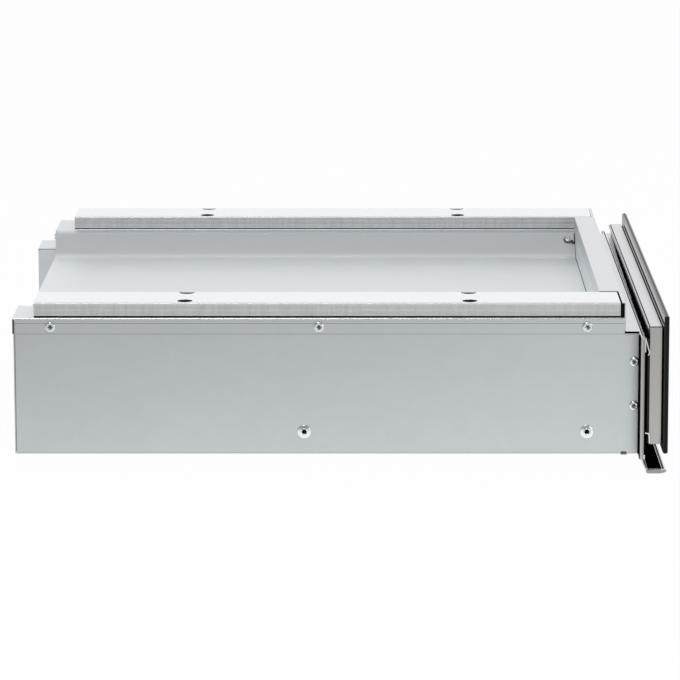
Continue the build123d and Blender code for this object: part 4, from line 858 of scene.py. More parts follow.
    def rear(self) -> None:
        """Rear panel, louvres and base with softened edges, and the joint of the terminal box's lid."""
        for name in ("rear_panel", "rear_louvres", "base_plate"):
            self.shop.softened(name, Finish.GALVANISED, "cabinet", Soften(0.2 * MM))
        low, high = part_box("terminal_box")
        lid = slab((low.x - self.lid_proud, high.x + self.lid_proud),
                   (low.y + 0.3 * MM, high.y + self.lid_proud), (high.z - MM, high.z - 0.55 * MM), LINE)
        self.shop.piece("terminal_lid_joint", lid, Finish.SHADE, "cabinet")

    def build(self) -> None:
        """Makes the casing."""
        self.cover()
        self.side_panels()
        self.rear()


# --- Rails ----------------------------------------------------------------------------------------
@dataclass
class TopRails:
    """Two grooved rails on the cover's ledges, the cross member ahead of them, and dark pads of painted shade
    beside it.
    """

    shop: Workshop
    wall: float = 2.0 * MM
    skin: float = 1.2 * MM
    skin_bend: float = 0.35 * MM
    band: tuple[float, float] = (1.2 * MM, 5.4 * MM)
    groove_depth: float = 0.5 * MM
    groove_floor: float = 0.2 * MM      # half the flat width at a groove's bottom
    grooves: tuple[tuple[float, float], ...] = ((0.86, 1.5 * MM), (0.48, 1.7 * MM), (0.24, 1.05 * MM))
    foot_gap: float = 1.6 * MM
    foot_inset: float = 1.2 * MM
    bead: float = 0.9 * MM
    hole_radius: float = 6.7 * MM
    hole_insets: tuple[float, float] = (12.2 * MM, 54.5 * MM)
    socket_depths: tuple[float, float] = (0.5 * MM, 0.55 * MM)
    hole_pitch: float = 250 * MM
    hole_shift: float = -0.7 * MM
    member_sheet: float = 1.0 * MM
    member_bend: float = 0.9 * MM
    member_end: float = 3.5 * MM

    def skin_outline(self, left: float, right: float, high: float) -> np.ndarray:
        """Section of the rail's smooth top skin: a flat strip with both upper edges rounded."""
        low = high - self.skin
        return rounded([(left, low), (right, low), (right, high), (left, high)],
                       [0, 0, self.skin_bend, self.skin_bend], closed=True, steps=7)

    def core_outline(self, left: float, right: float, low: float, high: float) -> np.ndarray:
        """Section of the rail's body: three shallow grooves a side and an undercut foot."""
        half, depth, foot = [(0, high)], self.groove_depth, low + self.foot_gap
        for level, reach in self.grooves:
            middle = low + level * (high - low)
            half += [(0, middle + reach), (depth, middle + self.groove_floor),
                     (depth, middle - self.groove_floor), (0, middle - reach)]
        half += [(0, foot), (self.foot_inset, foot), (self.foot_inset, low)]
        return np.array([(right - x, z) for x, z in half] + [(left + x, z) for x, z in half[::-1]])

    def hole_row(self, edge: float) -> float:
        """X of the row of open-sided holes, for a rail whose left edge is given."""
        return edge + self.hole_insets[1]

    def socket(self, centre: tuple, level: float, side: float) -> Mesh:
        """Painted shade in a hole: a dark disc under it, cut off at the rail's side."""
        disc = arc(centre, self.hole_radius + 0.3 * MM, 0, 360, 41)[:-1]
        disc[:, 0] = np.minimum(disc[:, 0], side - 0.4 * MM)
        return woven(carried(disc, Axis.Z, np.array([level - 0.3 * MM, level])))

    def edges(self, word: str, low: tuple, high: tuple) -> None:
        """What runs along a rail: darker bands of painted shade on its top, dark strips of painted shade and
        an inner bead at its foot.
        """
        strips, bands = [], []
        inner, inwards = (high.x, -1) if word == "left" else (low.x, 1)
        bead = arc((inner + inwards * 0.2 * MM, low.z - 0.2 * MM), self.bead, 0, 360, 25)[:-1]
        for edge, way in ((low.x, 1), (high.x, -1)):
            x = sorted((edge + way * 0.06 * MM, edge + way * (self.foot_inset + 0.2 * MM)))
            strips.append(slab(x, (low.y + 0.3 * MM, high.y - 0.3 * MM),
                               (low.z + 0.45 * MM, low.z + self.foot_gap), HAIR))
            x = sorted((edge + way * self.band[0], edge + way * self.band[1]))
            if abs(x[0] - self.hole_row(low.x)) > self.hole_radius:
                bands.append(slab(x, (low.y + 0.2 * MM, high.y - 0.2 * MM),
                                  (high.z - 0.3 * MM, high.z + HAIR), LINE))
        self.shop.piece(f"rail_edge_shade_band_{word}", joined(bands), Finish.PALE_SHEET, "cabinet")
        # The bead stands for a bright line at the rail's inner foot, and is in the lighter copy of the
        # galvanised steel, painted light.
        self.shop.piece(f"rail_foot_bead_{word}", bar(bead, Axis.Y, low.y, high.y, 0.1 * MM),
                        Finish.COVER_SHEET, "cabinet")
        self.shop.piece(f"rail_foot_shade_strips_{word}", joined(strips), Finish.FOAM, "cabinet")

    def rail(self, word: str) -> None:
        """One rail: skin and hollow body carried along Y, with the spacer holes cut through both."""
        low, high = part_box(f"top_rail_{word}")
        nodes = (f"top_rail_{word}",)
        skin_line = self.skin_outline(low.x, high.x, high.z)
        core_line = self.core_outline(low.x, high.x, low.z, high.z - self.skin)
        skin = self.shop.piece(f"rail_skin_{word}", bar(skin_line, Axis.Y, low.y, high.y),
                               Finish.RAIL_SKIN, "cabinet", nodes)
        self.edges(word, low, high)
        core = self.shop.piece(f"rail_core_{word}", bar(core_line, Axis.Y, low.y, high.y),
                               Finish.RAIL_CORE, "cabinet", nodes)
        self.shop.cut(core, slab((low.x + self.wall, high.x - self.wall), (low.y - MM, high.y + MM),
                                 (low.z + self.wall, high.z - self.wall), 0.0))
        bore = np.array([(0, 0), (self.hole_radius, 0), (self.hole_radius, 4 * MM), (0, 4 * MM)])
        sockets = []
        for place, depth in zip(self.hole_insets, self.socket_depths):
            for end in (-0.5, 0.5):
                centre = (low.x + place, self.hole_shift + end * self.hole_pitch)
                for piece in (skin, core):
                    self.shop.cut(piece, turned(bore, (*centre, high.z - self.wall - MM), (0, 0, 1), 40))
                sockets.append(self.socket(centre, high.z - depth, high.x))
        self.shop.piece(f"rail_hole_shade_{word}", joined(sockets), Finish.FOAM, "cabinet")

    def cross_member(self) -> None:
        """Cross member: a sheet folded down at both edges between the rails, and a strip ahead of them."""
        low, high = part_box("front_cross_member")
        left_low, left_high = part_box("top_rail_left")
        bend, overlap = self.member_bend, 0.1 * MM
        span = (left_high.x + 4 * MM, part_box("top_rail_right")[0].x - 0.5 * MM)
        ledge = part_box("top_cover")[1].z
        wide = rounded([(low.y, low.z), (low.y, high.z), (high.y, high.z), (high.y, ledge)],
                       [0, bend, bend, 0], steps=5)
        narrow = rounded([(low.y, low.z), (low.y, high.z), (left_low.y - 1.6 * MM, high.z)], [0, bend, 0],
                         steps=5)
        runs = ((wide, *span), (narrow, low.x + self.member_end, span[0] + overlap),
                (narrow, span[1] - overlap, high.x - self.member_end))
        sheets = [bar(strip(line, self.member_sheet), Axis.X, a, b, 0.15 * MM) for line, a, b in runs]
        self.shop.piece("cross_member_sheet", joined(sheets), Finish.PALE_SHEET, "cabinet",
                        ("front_cross_member",))

    def foam(self) -> None:
        """Dark pads of painted shade in the gaps between the left rail and the cross member, and along the
        edges of the cut-outs.
        """
        low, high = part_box("front_cross_member")
        cover_low, cover_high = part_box("top_cover")
        rail_low, rail_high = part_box("top_rail_left")
        frame_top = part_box("front_frame")[1].z
        wall_rear, rail_right = low.y + MM, rail_high.x - 0.2 * MM
        pads = [
            slab((rail_low.x + 0.3 * MM, rail_right), (wall_rear, rail_low.y),
                 (cover_high.z, high.z - MM), 0.2 * MM),
            slab((rail_low.x + 0.6 * MM, rail_right), (rail_low.y - 1.7 * MM, rail_low.y),
                 (high.z - 1.2 * MM, high.z - 0.15 * MM), 0.1 * MM),
            slab((rail_high.x, rail_high.x + 4.2 * MM), (wall_rear, high.y),
                 (cover_high.z, high.z - 0.2 * MM), 0.15 * MM),
        ]
        for side in (-1, 1):
            pads.append(slab(sided(side, cover_high.x - 0.9 * MM, cover_high.x - 6 * MM),
                             (wall_rear, cover_low.y + 0.2 * MM),
                             (frame_top - 0.1 * MM, cover_high.z), 0.2 * MM))
        edge = cover_low.x + 0.9 * MM
        pads.append(slab((edge, edge + 5 * MM), (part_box("side_panel_left")[0].y, cover_low.y),
                         (frame_top - 0.1 * MM, frame_top + MM), 0.2 * MM))
        self.shop.piece("gap_shade_pads", joined(pads), Finish.FOAM, "cabinet")

    def build(self) -> None:
        """Makes the rails, the cross member and the pads of painted shade."""
        self.rail("left")
        self.rail("right")
        self.cross_member()
        self.foam()


# --- Front frame, seals and trim ------------------------------------------------------------------
@dataclass
class FrontFrame:
    """Frame plate, bright seal frame, corner tabs, flange tape with painted shade, and the bottom trim."""

    shop: Workshop
    tape: float = 0.4 * MM
    tab_sheet: float = 1.2 * MM
    tab_depth: float = 5 * MM
    web_top: float = -1.6 * MM
    ribs: int = 6
    bead: float = 1.9 * MM
    front_lip: float = 4.4 * MM
    rear_lip: float = 1.6 * MM
    end_plate: float = 2.4 * MM
    joint_width: float = 0.8 * MM
    face_drop: float = 1.1 * MM
    foil_reach: float = 3.6 * MM
    cap: float = 0.25 * MM
    profile_end: float = 0.1 * MM
    web_sheet: float = 1.1 * MM
    web_setback: float = 2.9 * MM       # web's upper end ahead of the side panels
    foil_taper: tuple[tuple[float, float], ...] = (      # X and share of the painted light wedge's reach
        (251 * MM, 1.0), (156 * MM, 0.5), (65 * MM, 0.33), (-21 * MM, 0.2), (-104 * MM, 0.03))

    def plates(self) -> None:
        """Frame plate and seal frame with softened edges."""
        self.shop.softened("front_frame", Finish.PALE_SHEET, "cabinet", Soften(0.3 * MM))
        self.shop.softened("seal_frame", Finish.BRIGHT, "cabinet", Soften(0.45 * MM, 3))

    def edge_caps(self) -> None:
        """Brushed caps on both frames' cut ends, in darker copies of steel as painted shade, and dark strips
        at the seal frame's front corners.
        """
        low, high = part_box("front_frame")
        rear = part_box("side_panel_left")[0].y - 0.5 * MM
        caps = [slab((x, x + self.cap), (low.y + 0.1 * MM, rear), (self.web_top, high.z - 0.3 * MM), 0.1 * MM)
                for x in (low.x - 0.12 * MM, high.x - 0.13 * MM)]
        self.shop.piece("frame_edge_caps", joined(caps), Finish.DOOR_EDGE, "cabinet")
        low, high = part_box("seal_frame")
        corner = low.y + 1.1 * MM
        ends, wraps = [], []
        for x in (low.x - 0.15 * MM, high.x - 0.1 * MM):
            ends.append(slab((x, x + self.cap), (corner, high.y),
                             (low.z + 0.3 * MM, high.z - 0.6 * MM), 0.1 * MM))
            wraps.append(slab((x, x + self.cap), (low.y - 0.05 * MM, corner),
                              (low.z + 4 * MM, high.z - 12 * MM), 0.1 * MM))
        self.shop.piece("seal_edge_caps", joined(ends), Finish.SEAL_END, "cabinet")
        self.shop.piece("seal_edge_strips", joined(wraps), Finish.FOAM, "cabinet")

    def top_joint(self) -> None:
        """Dark joint between the frame's top edge and the seal frame, and a pale wedge of painted light in
        the gap at its far end.
        """
        low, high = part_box("front_frame")
        seal_low, seal_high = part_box("seal_frame")
        joint = slab((seal_low.x + 0.3 * MM, seal_high.x - 0.3 * MM),
                     (low.y - 0.1 * MM, low.y + self.joint_width), (high.z - 0.9 * MM, high.z + PROUD), HAIR)
        self.shop.piece("frame_top_joint", joint, Finish.FOAM, "cabinet")
        far, front = seal_high.x - 0.5 * MM, seal_low.y
        taper = [(x, front - share * self.foil_reach) for x, share in self.foil_taper]
        plan = np.array([(far, front), (far, front - self.foil_reach), *taper])
        foil = woven(carried(plan, Axis.Z, np.array([seal_high.z - 0.2 * MM, seal_high.z])))
        self.shop.piece("seal_light_wedge", foil, Finish.PALE_SHEET, "cabinet")

    def flange_tape(self) -> None:
        """Dark sealing tape behind the flanges that meet the cabinet's walls, dark also as painted shade, and
        strips of painted shade at the panels.
        """
        low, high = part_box("front_frame")
        panel_low, panel_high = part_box("side_panel_right")
        rear, casing = panel_low.y, panel_high.x
        strips = []
        for side in (-1, 1):
            strips.append(slab(sided(side, casing + 4 * MM, high.x - 0.15 * MM), (rear - self.tape, rear),
                               (low.z + 0.3 * MM, high.z - 0.3 * MM), 0.1 * MM))
            strips.append(slab(sided(side, casing - 0.4 * MM, casing + 4.2 * MM),
                               (rear - 0.05 * MM, rear + 0.75 * MM), (0.2 * MM, high.z - 1.1 * MM), 0.2 * MM))
        self.shop.piece("flange_tape", joined(strips), Finish.FOAM, "cabinet")

    def corner_tabs(self) -> None:
        """Bright tabs at the seal frame's corners: a slanted lip above and a small bridge below."""
        low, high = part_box("seal_frame")
        y, top = low.y, high.z
        lip = rounded([(y + 0.9 * MM, top - 0.4 * MM), (y + 0.3 * MM, top - 2.4 * MM),
                       (y - 2.6 * MM, top - 12.4 * MM), (y - 1.4 * MM, top - 14.6 * MM)], [0, 2 * MM, MM, 0])
        bridge = rounded([(y + 0.6 * MM, 12.4 * MM), (y + 0.6 * MM, 21.2 * MM), (y - 2.9 * MM, 20.4 * MM),
                          (y - 3.4 * MM, 12.4 * MM)], [0, 1.2 * MM, 1.2 * MM, 0])
        tabs = []
        for side in (-1, 1):
            outer = side * (high.x - 0.2 * MM)
            span = sorted((outer, outer - side * self.tab_depth))
            tabs += [bar(strip(line, self.tab_sheet), Axis.X, *span, 0.2 * MM) for line in (lip, bridge)]
        self.shop.piece("seal_corner_tabs", joined(tabs), Finish.BRIGHT, "cabinet")

    def trim(self) -> None:
        """Bottom trim: a dished profile with a raised front bead, closed ends and a web up to the frame."""
        low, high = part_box("bottom_trim")
        front, bottom = low.y, low.z
        rear, seat = self.trim_rear(), self.seat()
        insert_low, insert_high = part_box("trim_insert")
        lip, floor = insert_high.z + 0.7 * MM, insert_low.z
        crown = arc((front + self.bead, lip - self.bead + 0.2 * MM), self.bead, 35, 205, 13)
        under = [(front + 1.6 * MM, bottom + 0.9 * MM), (front + 5.2 * MM, bottom)]
        heel = [(rear - 0.6 * MM, bottom), (rear, bottom + 2.4 * MM), (rear, lip)]
        dish = [(seat[1], lip), (seat[1], floor), (seat[0], floor), (seat[0], lip)]
        heel_radii, under_radii = [2.2 * MM, 1.6 * MM, 0.4 * MM], [1.5 * MM, 4 * MM]
        crown_radii = [0] * len(crown)
        outline = rounded([*heel, *dish, *crown.tolist(), *under],
                          [*heel_radii, 0.3 * MM, 0, 0, 0.3 * MM, *crown_radii, *under_radii], closed=True)
        plate = rounded([*heel, (seat[0], lip), *crown.tolist(), *under],
                        [*heel_radii, 2 * MM, *crown_radii, *under_radii], closed=True)
        profile = bar(outline, Axis.X, low.x + self.profile_end, high.x - self.profile_end)
        ends = [bar(plate, Axis.X, a, b, 1.1 * MM)
                for a, b in ((low.x, low.x + self.end_plate), (high.x - self.end_plate, high.x))]
        web_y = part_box("side_panel_left")[0].y - self.web_setback
        web_line = rounded([(rear - 0.2 * MM, lip - 0.4 * MM), (web_y, -3.2 * MM), (web_y, self.web_top)],
                           [0, 2 * MM, 0])
        web = bar(strip(web_line, self.web_sheet), Axis.X, low.x + 0.2 * MM, high.x - 0.2 * MM, 0.2 * MM)
        self.shop.piece("trim_profile", joined([profile, *ends, web]), Finish.BRIGHT, "cabinet",
                        ("bottom_trim",))
        # The end faces are in a darker copy of the bright steel, painted shade.
        face = np.stack([plate[:, 0], np.minimum(plate[:, 1], lip - self.face_drop)], axis=1)
        faces = [bar(face, Axis.X, x, x + 0.3 * MM) for x in (low.x - 0.04 * MM, high.x - 0.26 * MM)]
        self.shop.piece("trim_end_faces", joined(faces), Finish.SEAL_END, "cabinet")

    @staticmethod
    def trim_rear() -> float:
        """Rear limit of the trim without its hangers, as far ahead of the seal frame as the CAD's."""
        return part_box("seal_frame")[0].y - MM

    def seat(self) -> tuple[float, float]:
        """Front and rear limit of the trim's recess for the insert."""
        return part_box("bottom_trim")[0].y + self.front_lip, self.trim_rear() - self.rear_lip

    def insert(self) -> None:
        """Dark insert: its upper face is a row of rounded ribs that run along the trim."""
        low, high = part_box("trim_insert")
        front, rear = self.seat()
        across = np.linspace(front, rear, self.ribs * 8 + 1)
        phase = np.linspace(0, self.ribs, len(across))
        crest = high.z - 0.9 * MM + 0.6 * MM * np.abs(np.sin(math.pi * phase)) ** 0.6
        outline = np.concatenate([np.stack([across, crest], axis=1), [(rear, low.z), (front, low.z)]])
        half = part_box("bottom_trim")[1].x - self.end_plate + 0.5 * MM
        run = bar(outline, Axis.X, -half, half)
        self.shop.piece("trim_ribbed_insert", run, Finish.SEAL, "cabinet", ("trim_insert",))

    def build(self) -> None:
        """Makes the front frame and what is on it."""
        self.plates()
        self.edge_caps()
        self.flange_tape()
        self.top_joint()
        self.corner_tabs()
        self.trim()
        self.insert()


# --- Door -----------------------------------------------------------------------------------------
@dataclass
class Door:
    """Glass front, bonding, folded box, insulation and gasket."""

    shop: Workshop
    edge: float = 1.0 * MM
    ledge: float = 0.6 * MM
    seam: float = 0.95 * MM
    fold: float = 0.9 * MM
    sheet: float = 1.0 * MM
    pan_rim: float = 10 * MM            # width of the pan's folds, round its back plate
    front_gap: float = 0.1 * MM
    gasket_width: float = 9.0 * MM

    def glass(self) -> None:
        """Glass front: a plate with its edges ground round, matt at the edge and polished on its faces."""
        low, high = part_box("glass_front")
        corners = [(low.x, low.z), (high.x, low.z), (high.x, high.z), (low.x, high.z)]
        outline = rounded(corners, [1.5 * MM] * 4, closed=True, steps=5)
        plate = woven(carried(outline, Axis.Y, *soft_ends(low.y, high.y, self.edge, 5)))
        self.shop.piece("glass_plate", plate, Finish.BLACK_GLASS, "drawer", ("glass_front",))
        front, rear = low.y + self.edge + 0.2 * MM, high.y - self.edge - 0.2 * MM
        ground = frame_ring((low.x - PROUD, high.x + PROUD, low.z - PROUD, high.z + PROUD),
                            (low.x + MM, high.x - MM, low.z + MM, high.z - MM),
                            np.array([(0, front), (0, rear), (1, rear), (1, front)]))
        self.shop.piece("glass_ground_edge", ground, Finish.GLASS_EDGE, "drawer")

    def bonding(self) -> None:
        """Bonding behind the glass, its fillet towards the glass's lower edge, and a ledge at its top."""
        low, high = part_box("glass_bonding")
        glass_low, glass_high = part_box("glass_front")
        self.shop.softened("glass_bonding", Finish.FOAM, "drawer", Soften(0.3 * MM))
        top, foot = low.z + 0.5 * MM, glass_low.z + 1.2 * MM
        inside = glass_high.y - 0.4 * MM
        wedge = np.array([(high.y - 0.2 * MM, top), (inside, top), (inside, foot),
                          (glass_high.y + 0.2 * MM, foot)])
        run = bar(wedge, Axis.X, glass_low.x + 0.6 * MM, glass_high.x - 0.6 * MM)
        self.shop.piece("glass_lower_fillet", run, Finish.RUBBER, "drawer")
        box_low, box_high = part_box("door_box")
        ledge = slab((box_low.x + 0.6 * MM, box_high.x - 0.6 * MM),
                     (glass_high.y - 0.1 * MM, glass_high.y + self.ledge),
                     (box_high.z - 1.6 * MM, box_high.z - 0.15 * MM), 0.05 * MM)
        self.shop.piece("glass_rear_ledge", ledge, Finish.BLACK_GLASS, "drawer")

    def box(self) -> None:
        """Door box: a pan with rounded folds and a back, then what runs along its sides and its top."""
        low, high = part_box("door_box")
        sheet, reach, front = self.sheet, self.pan_rim, low.y + self.front_gap
        folds = rounded([(sheet, front), (0, front), (0, high.y), (sheet * 4, high.y)],
                        [0, 0.5 * MM, self.fold, 0], steps=5)
        section = np.concatenate([folds, [(reach, high.y), (reach, high.y - sheet), (sheet, high.y - sheet),
                                          (sheet, low.y + sheet), (reach, low.y + sheet), (reach, front)]])
        section[:, 0] /= reach
        inner = (low.x + reach, high.x - reach, low.z + reach, high.z - reach)
        ring = frame_ring((low.x, high.x, low.z, high.z), inner, section)
        back = slab((inner[0] - MM, inner[1] + MM), (high.y - sheet, high.y), (inner[2] - MM, inner[3] + MM),
                    0.05 * MM)
        self.shop.piece("door_box_pan", joined([ring, back]), Finish.STAINLESS, "drawer", ("door_box",),
                        Soften(0.15 * MM))
        self.box_edges(low, high)

    def box_edges(self, low: tuple, high: tuple) -> None:
        """Laps on the door box's sides, dark joints over them, its rear lip, and the gasket's side lips; laps
        and lip are in a darker copy of the stainless steel, painted shade.
        """
        laps, joints, lips = [], [], []
        for x in (low.x - 0.3 * MM, high.x - 0.05 * MM):
            laps.append(slab((x, x + 0.35 * MM), (low.y + 0.05 * MM, high.y - 0.05 * MM),
                             (low.z + 0.4 * MM, high.z - self.seam), 0.12 * MM))
            joints.append(slab((x + PROUD, x + 0.32 * MM), (low.y + 0.2 * MM, high.y - 0.2 * MM),
                               (high.z - self.seam, high.z - 0.35 * MM), HAIR))
            lips.append(slab((x + 0.05 * MM, x + 0.3 * MM), (high.y, high.y + 1.9 * MM),
                             (low.z + MM, high.z - 11 * MM), 0.1 * MM))
        across = (low.x + MM, high.x - MM)
        joints.append(slab(across, (high.y - 0.3 * MM, high.y + 0.5 * MM),
                           (high.z - 2 * MM, high.z - 0.5 * MM), HAIR))
        rear_lip = slab(across, (high.y + 0.4 * MM, high.y + 2.0 * MM),
                        (high.z - 2.4 * MM, high.z - 0.6 * MM), 0.4 * MM)
        self.shop.piece("door_box_laps", joined(laps), Finish.DOOR_EDGE, "drawer")
        self.shop.piece("door_box_joints", joined(joints), Finish.FOAM, "drawer")
        self.shop.piece("door_box_rear_lip", rear_lip, Finish.DOOR_EDGE, "drawer")
        self.shop.piece("gasket_side_lips", joined(lips), Finish.SILICONE, "drawer")

    def gasket(self) -> None:
        """Gasket: a bulb with a squarish section, up both sides and across the top."""
        low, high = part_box("door_gasket")
        squareness = 0.75
        bulb = arc((0.5, 0.5), 0.5, -180, 180, 25)[:-1]
        bulb = np.sign(bulb - 0.5) * np.abs((bulb - 0.5) * 2) ** squareness * 0.5 + 0.5
        across, depth = bulb[:, 0] * self.gasket_width, low.y + bulb[:, 1] * (high.y - low.y)
        rings = []
        for x, z in ((high.x, low.z), (high.x, high.z), (low.x, high.z), (low.x, low.z)):
            side = 1 if x > 0 else -1
            rise = 1 if z > (low.z + high.z) / 2 else 0
            rings.append(np.stack([x - side * across, depth, z - rise * across], axis=1))
        self.shop.piece("gasket_bulb", woven(np.stack(rings)), Finish.SEAL, "drawer", ("door_gasket",))

    def build(self) -> None:
        """Makes the door."""
        self.glass()
        self.bonding()
        self.box()
        self.gasket()
        self.shop.softened("door_insulation", Finish.INSULATION, "drawer", Soften(0.5 * MM))


# --- Drawer ---------------------------------------------------------------------------------------
@dataclass
class Drawer:
    """Tray, heating plate with its mat and insulation, console, knob with its scale, lamp, switch."""

    shop: Workshop
    marks: int = 5
    scale_radius: float = 24 * MM
    digit_height: float = 5.5 * MM
    print_height: float = 0.06 * MM
    travel: float = 240.0               # degrees of the knob
    tick: tuple[float, float] = (18.2 * MM, 20.0 * MM)      # its two ends, from the knob's axis
    tick_half: float = 0.35 * MM

    def build(self) -> None:
        """Makes what slides with the drawer."""
        for name, finish, width in (
            ("drawer_tray", Finish.STAINLESS, 0.3), ("heating_plate", Finish.PLATE_GLASS, 0.3),
            ("heater_mat", Finish.FOIL, 0.2), ("base_insulation", Finish.INSULATION, 0.5),
            ("control_console", Finish.STAINLESS, 0.3), ("rotary_switch", Finish.BLACK_PLASTIC, 0.5),
            ("indicator_light", Finish.LENS, 0.1),
        ):
            self.shop.softened(name, finish, "drawer", Soften(width * MM))
        self.shop.softened("temperature_knob", Finish.BLACK_PLASTIC, "temperature_knob", Soften(0.15 * MM))
        self.scale()

    def scale(self) -> None:
        """Plain numbers and ticks printed round the knob, from nought to four over its travel."""
        low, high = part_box("temperature_knob")
        centre = np.array([(low.x + high.x) / 2, (low.y + high.y) / 2])
        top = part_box("control_console")[1].z
        ticks, places = [], []
        for i in range(self.marks):
            angle = math.radians(90 - i * self.travel / (self.marks - 1))
            way = np.array([math.cos(angle), math.sin(angle)])
            across = np.array([-way[1], way[0]]) * self.tick_half
            near, far = centre + way * self.tick[0], centre + way * self.tick[1]
            corners = np.array([near - across, near + across, far + across, far - across])
            ticks.append(woven(carried(corners, Axis.Z, np.array([top, top + self.print_height]))))
            places.append(centre + way * self.scale_radius)
        self.shop.piece("scale_ticks", joined(ticks), Finish.PRINT, "drawer")
        for i, place in enumerate(places):
            self.digit(str(i), place, top)

    def digit(self, text: str, place: np.ndarray, level: float) -> None:
        """One number of the scale, lying on the console, readable from the front."""
        curve = bpy.data.curves.new(f"digit_{text}", "FONT")
        curve.body = text
        curve.size = self.digit_height
        curve.align_x = "CENTER"
        curve.align_y = "CENTER"
        curve.extrude = self.print_height / 2
        source = placed(f"digit_{text}_source", curve)
        bpy.context.view_layer.update()
        flat = baked(source)
        bpy.data.objects.remove(source)
        points = np.zeros(len(flat.vertices) * 3)
        flat.vertices.foreach_get("co", points)
        points = points.reshape(-1, 3) + (place[0], place[1], level + self.print_height / 2)
        faces = [list(face.vertices) for face in flat.polygons]
        bpy.data.meshes.remove(flat)
        self.shop.piece(f"scale_digit_{text}", (points, faces), Finish.PRINT, "drawer")


# --- Runners --------------------------------------------------------------------------------------
@dataclass
class Runners:
    """Three-part telescopic runners."""

    shop: Workshop

    def build(self) -> None:
        """Makes the runner members with softened folds."""
        for word in ("left", "right"):
            middle = f"runner_middle_{word}"
            for name, body in ((f"runner_outer_{word}", "cabinet"), (middle, middle),
                               (f"runner_inner_{word}", "drawer")):
                self.shop.softened(name, Finish.GALVANISED, body, Soften(0.35 * MM))


# --- Rear compartment and fittings ----------------------------------------------------------------
@dataclass
class Innards:
    """Everything behind and above the drawer."""

    shop: Workshop

    def build(self) -> None:
        """Dresses the inner parts and the rear fittings."""
        for name, finish, width in (
            ("cavity_ceiling", Finish.STAINLESS, 0.2), ("ceiling_insulation", Finish.INSULATION, 0.5),
            ("rear_partition", Finish.STAINLESS, 0.2), ("fan_housing", Finish.GALVANISED, 0.3),
            ("fan_motor", Finish.BLACK_PLASTIC, 0.4), ("heater_duct", Finish.GALVANISED, 0.3),
            ("heating_element", Finish.ELEMENT, 0.1), ("temperature_limiter", Finish.BLACK_PLASTIC, 0.3),
            ("power_module", Finish.GREY_PLASTIC, 0.5), ("terminal_box", Finish.COVER_SHEET, 0.4),
            ("terminal_block", Finish.GREY_PLASTIC, 0.4), ("cable_gland", Finish.BLACK_PLASTIC, 0.4),
            ("latch_body", Finish.BLACK_PLASTIC, 0.3), ("earth_clip", Finish.ZINC, 0.2),
        ):
            self.shop.softened(name, finish, "cabinet", Soften(width * MM))
        self.shop.softened("latch_plunger", Finish.GREY_PLASTIC, "latch_plunger", Soften(0.2 * MM))
        self.shop.softened("fan_impeller", Finish.GREY_PLASTIC, "fan_impeller", Soften(0.15 * MM))


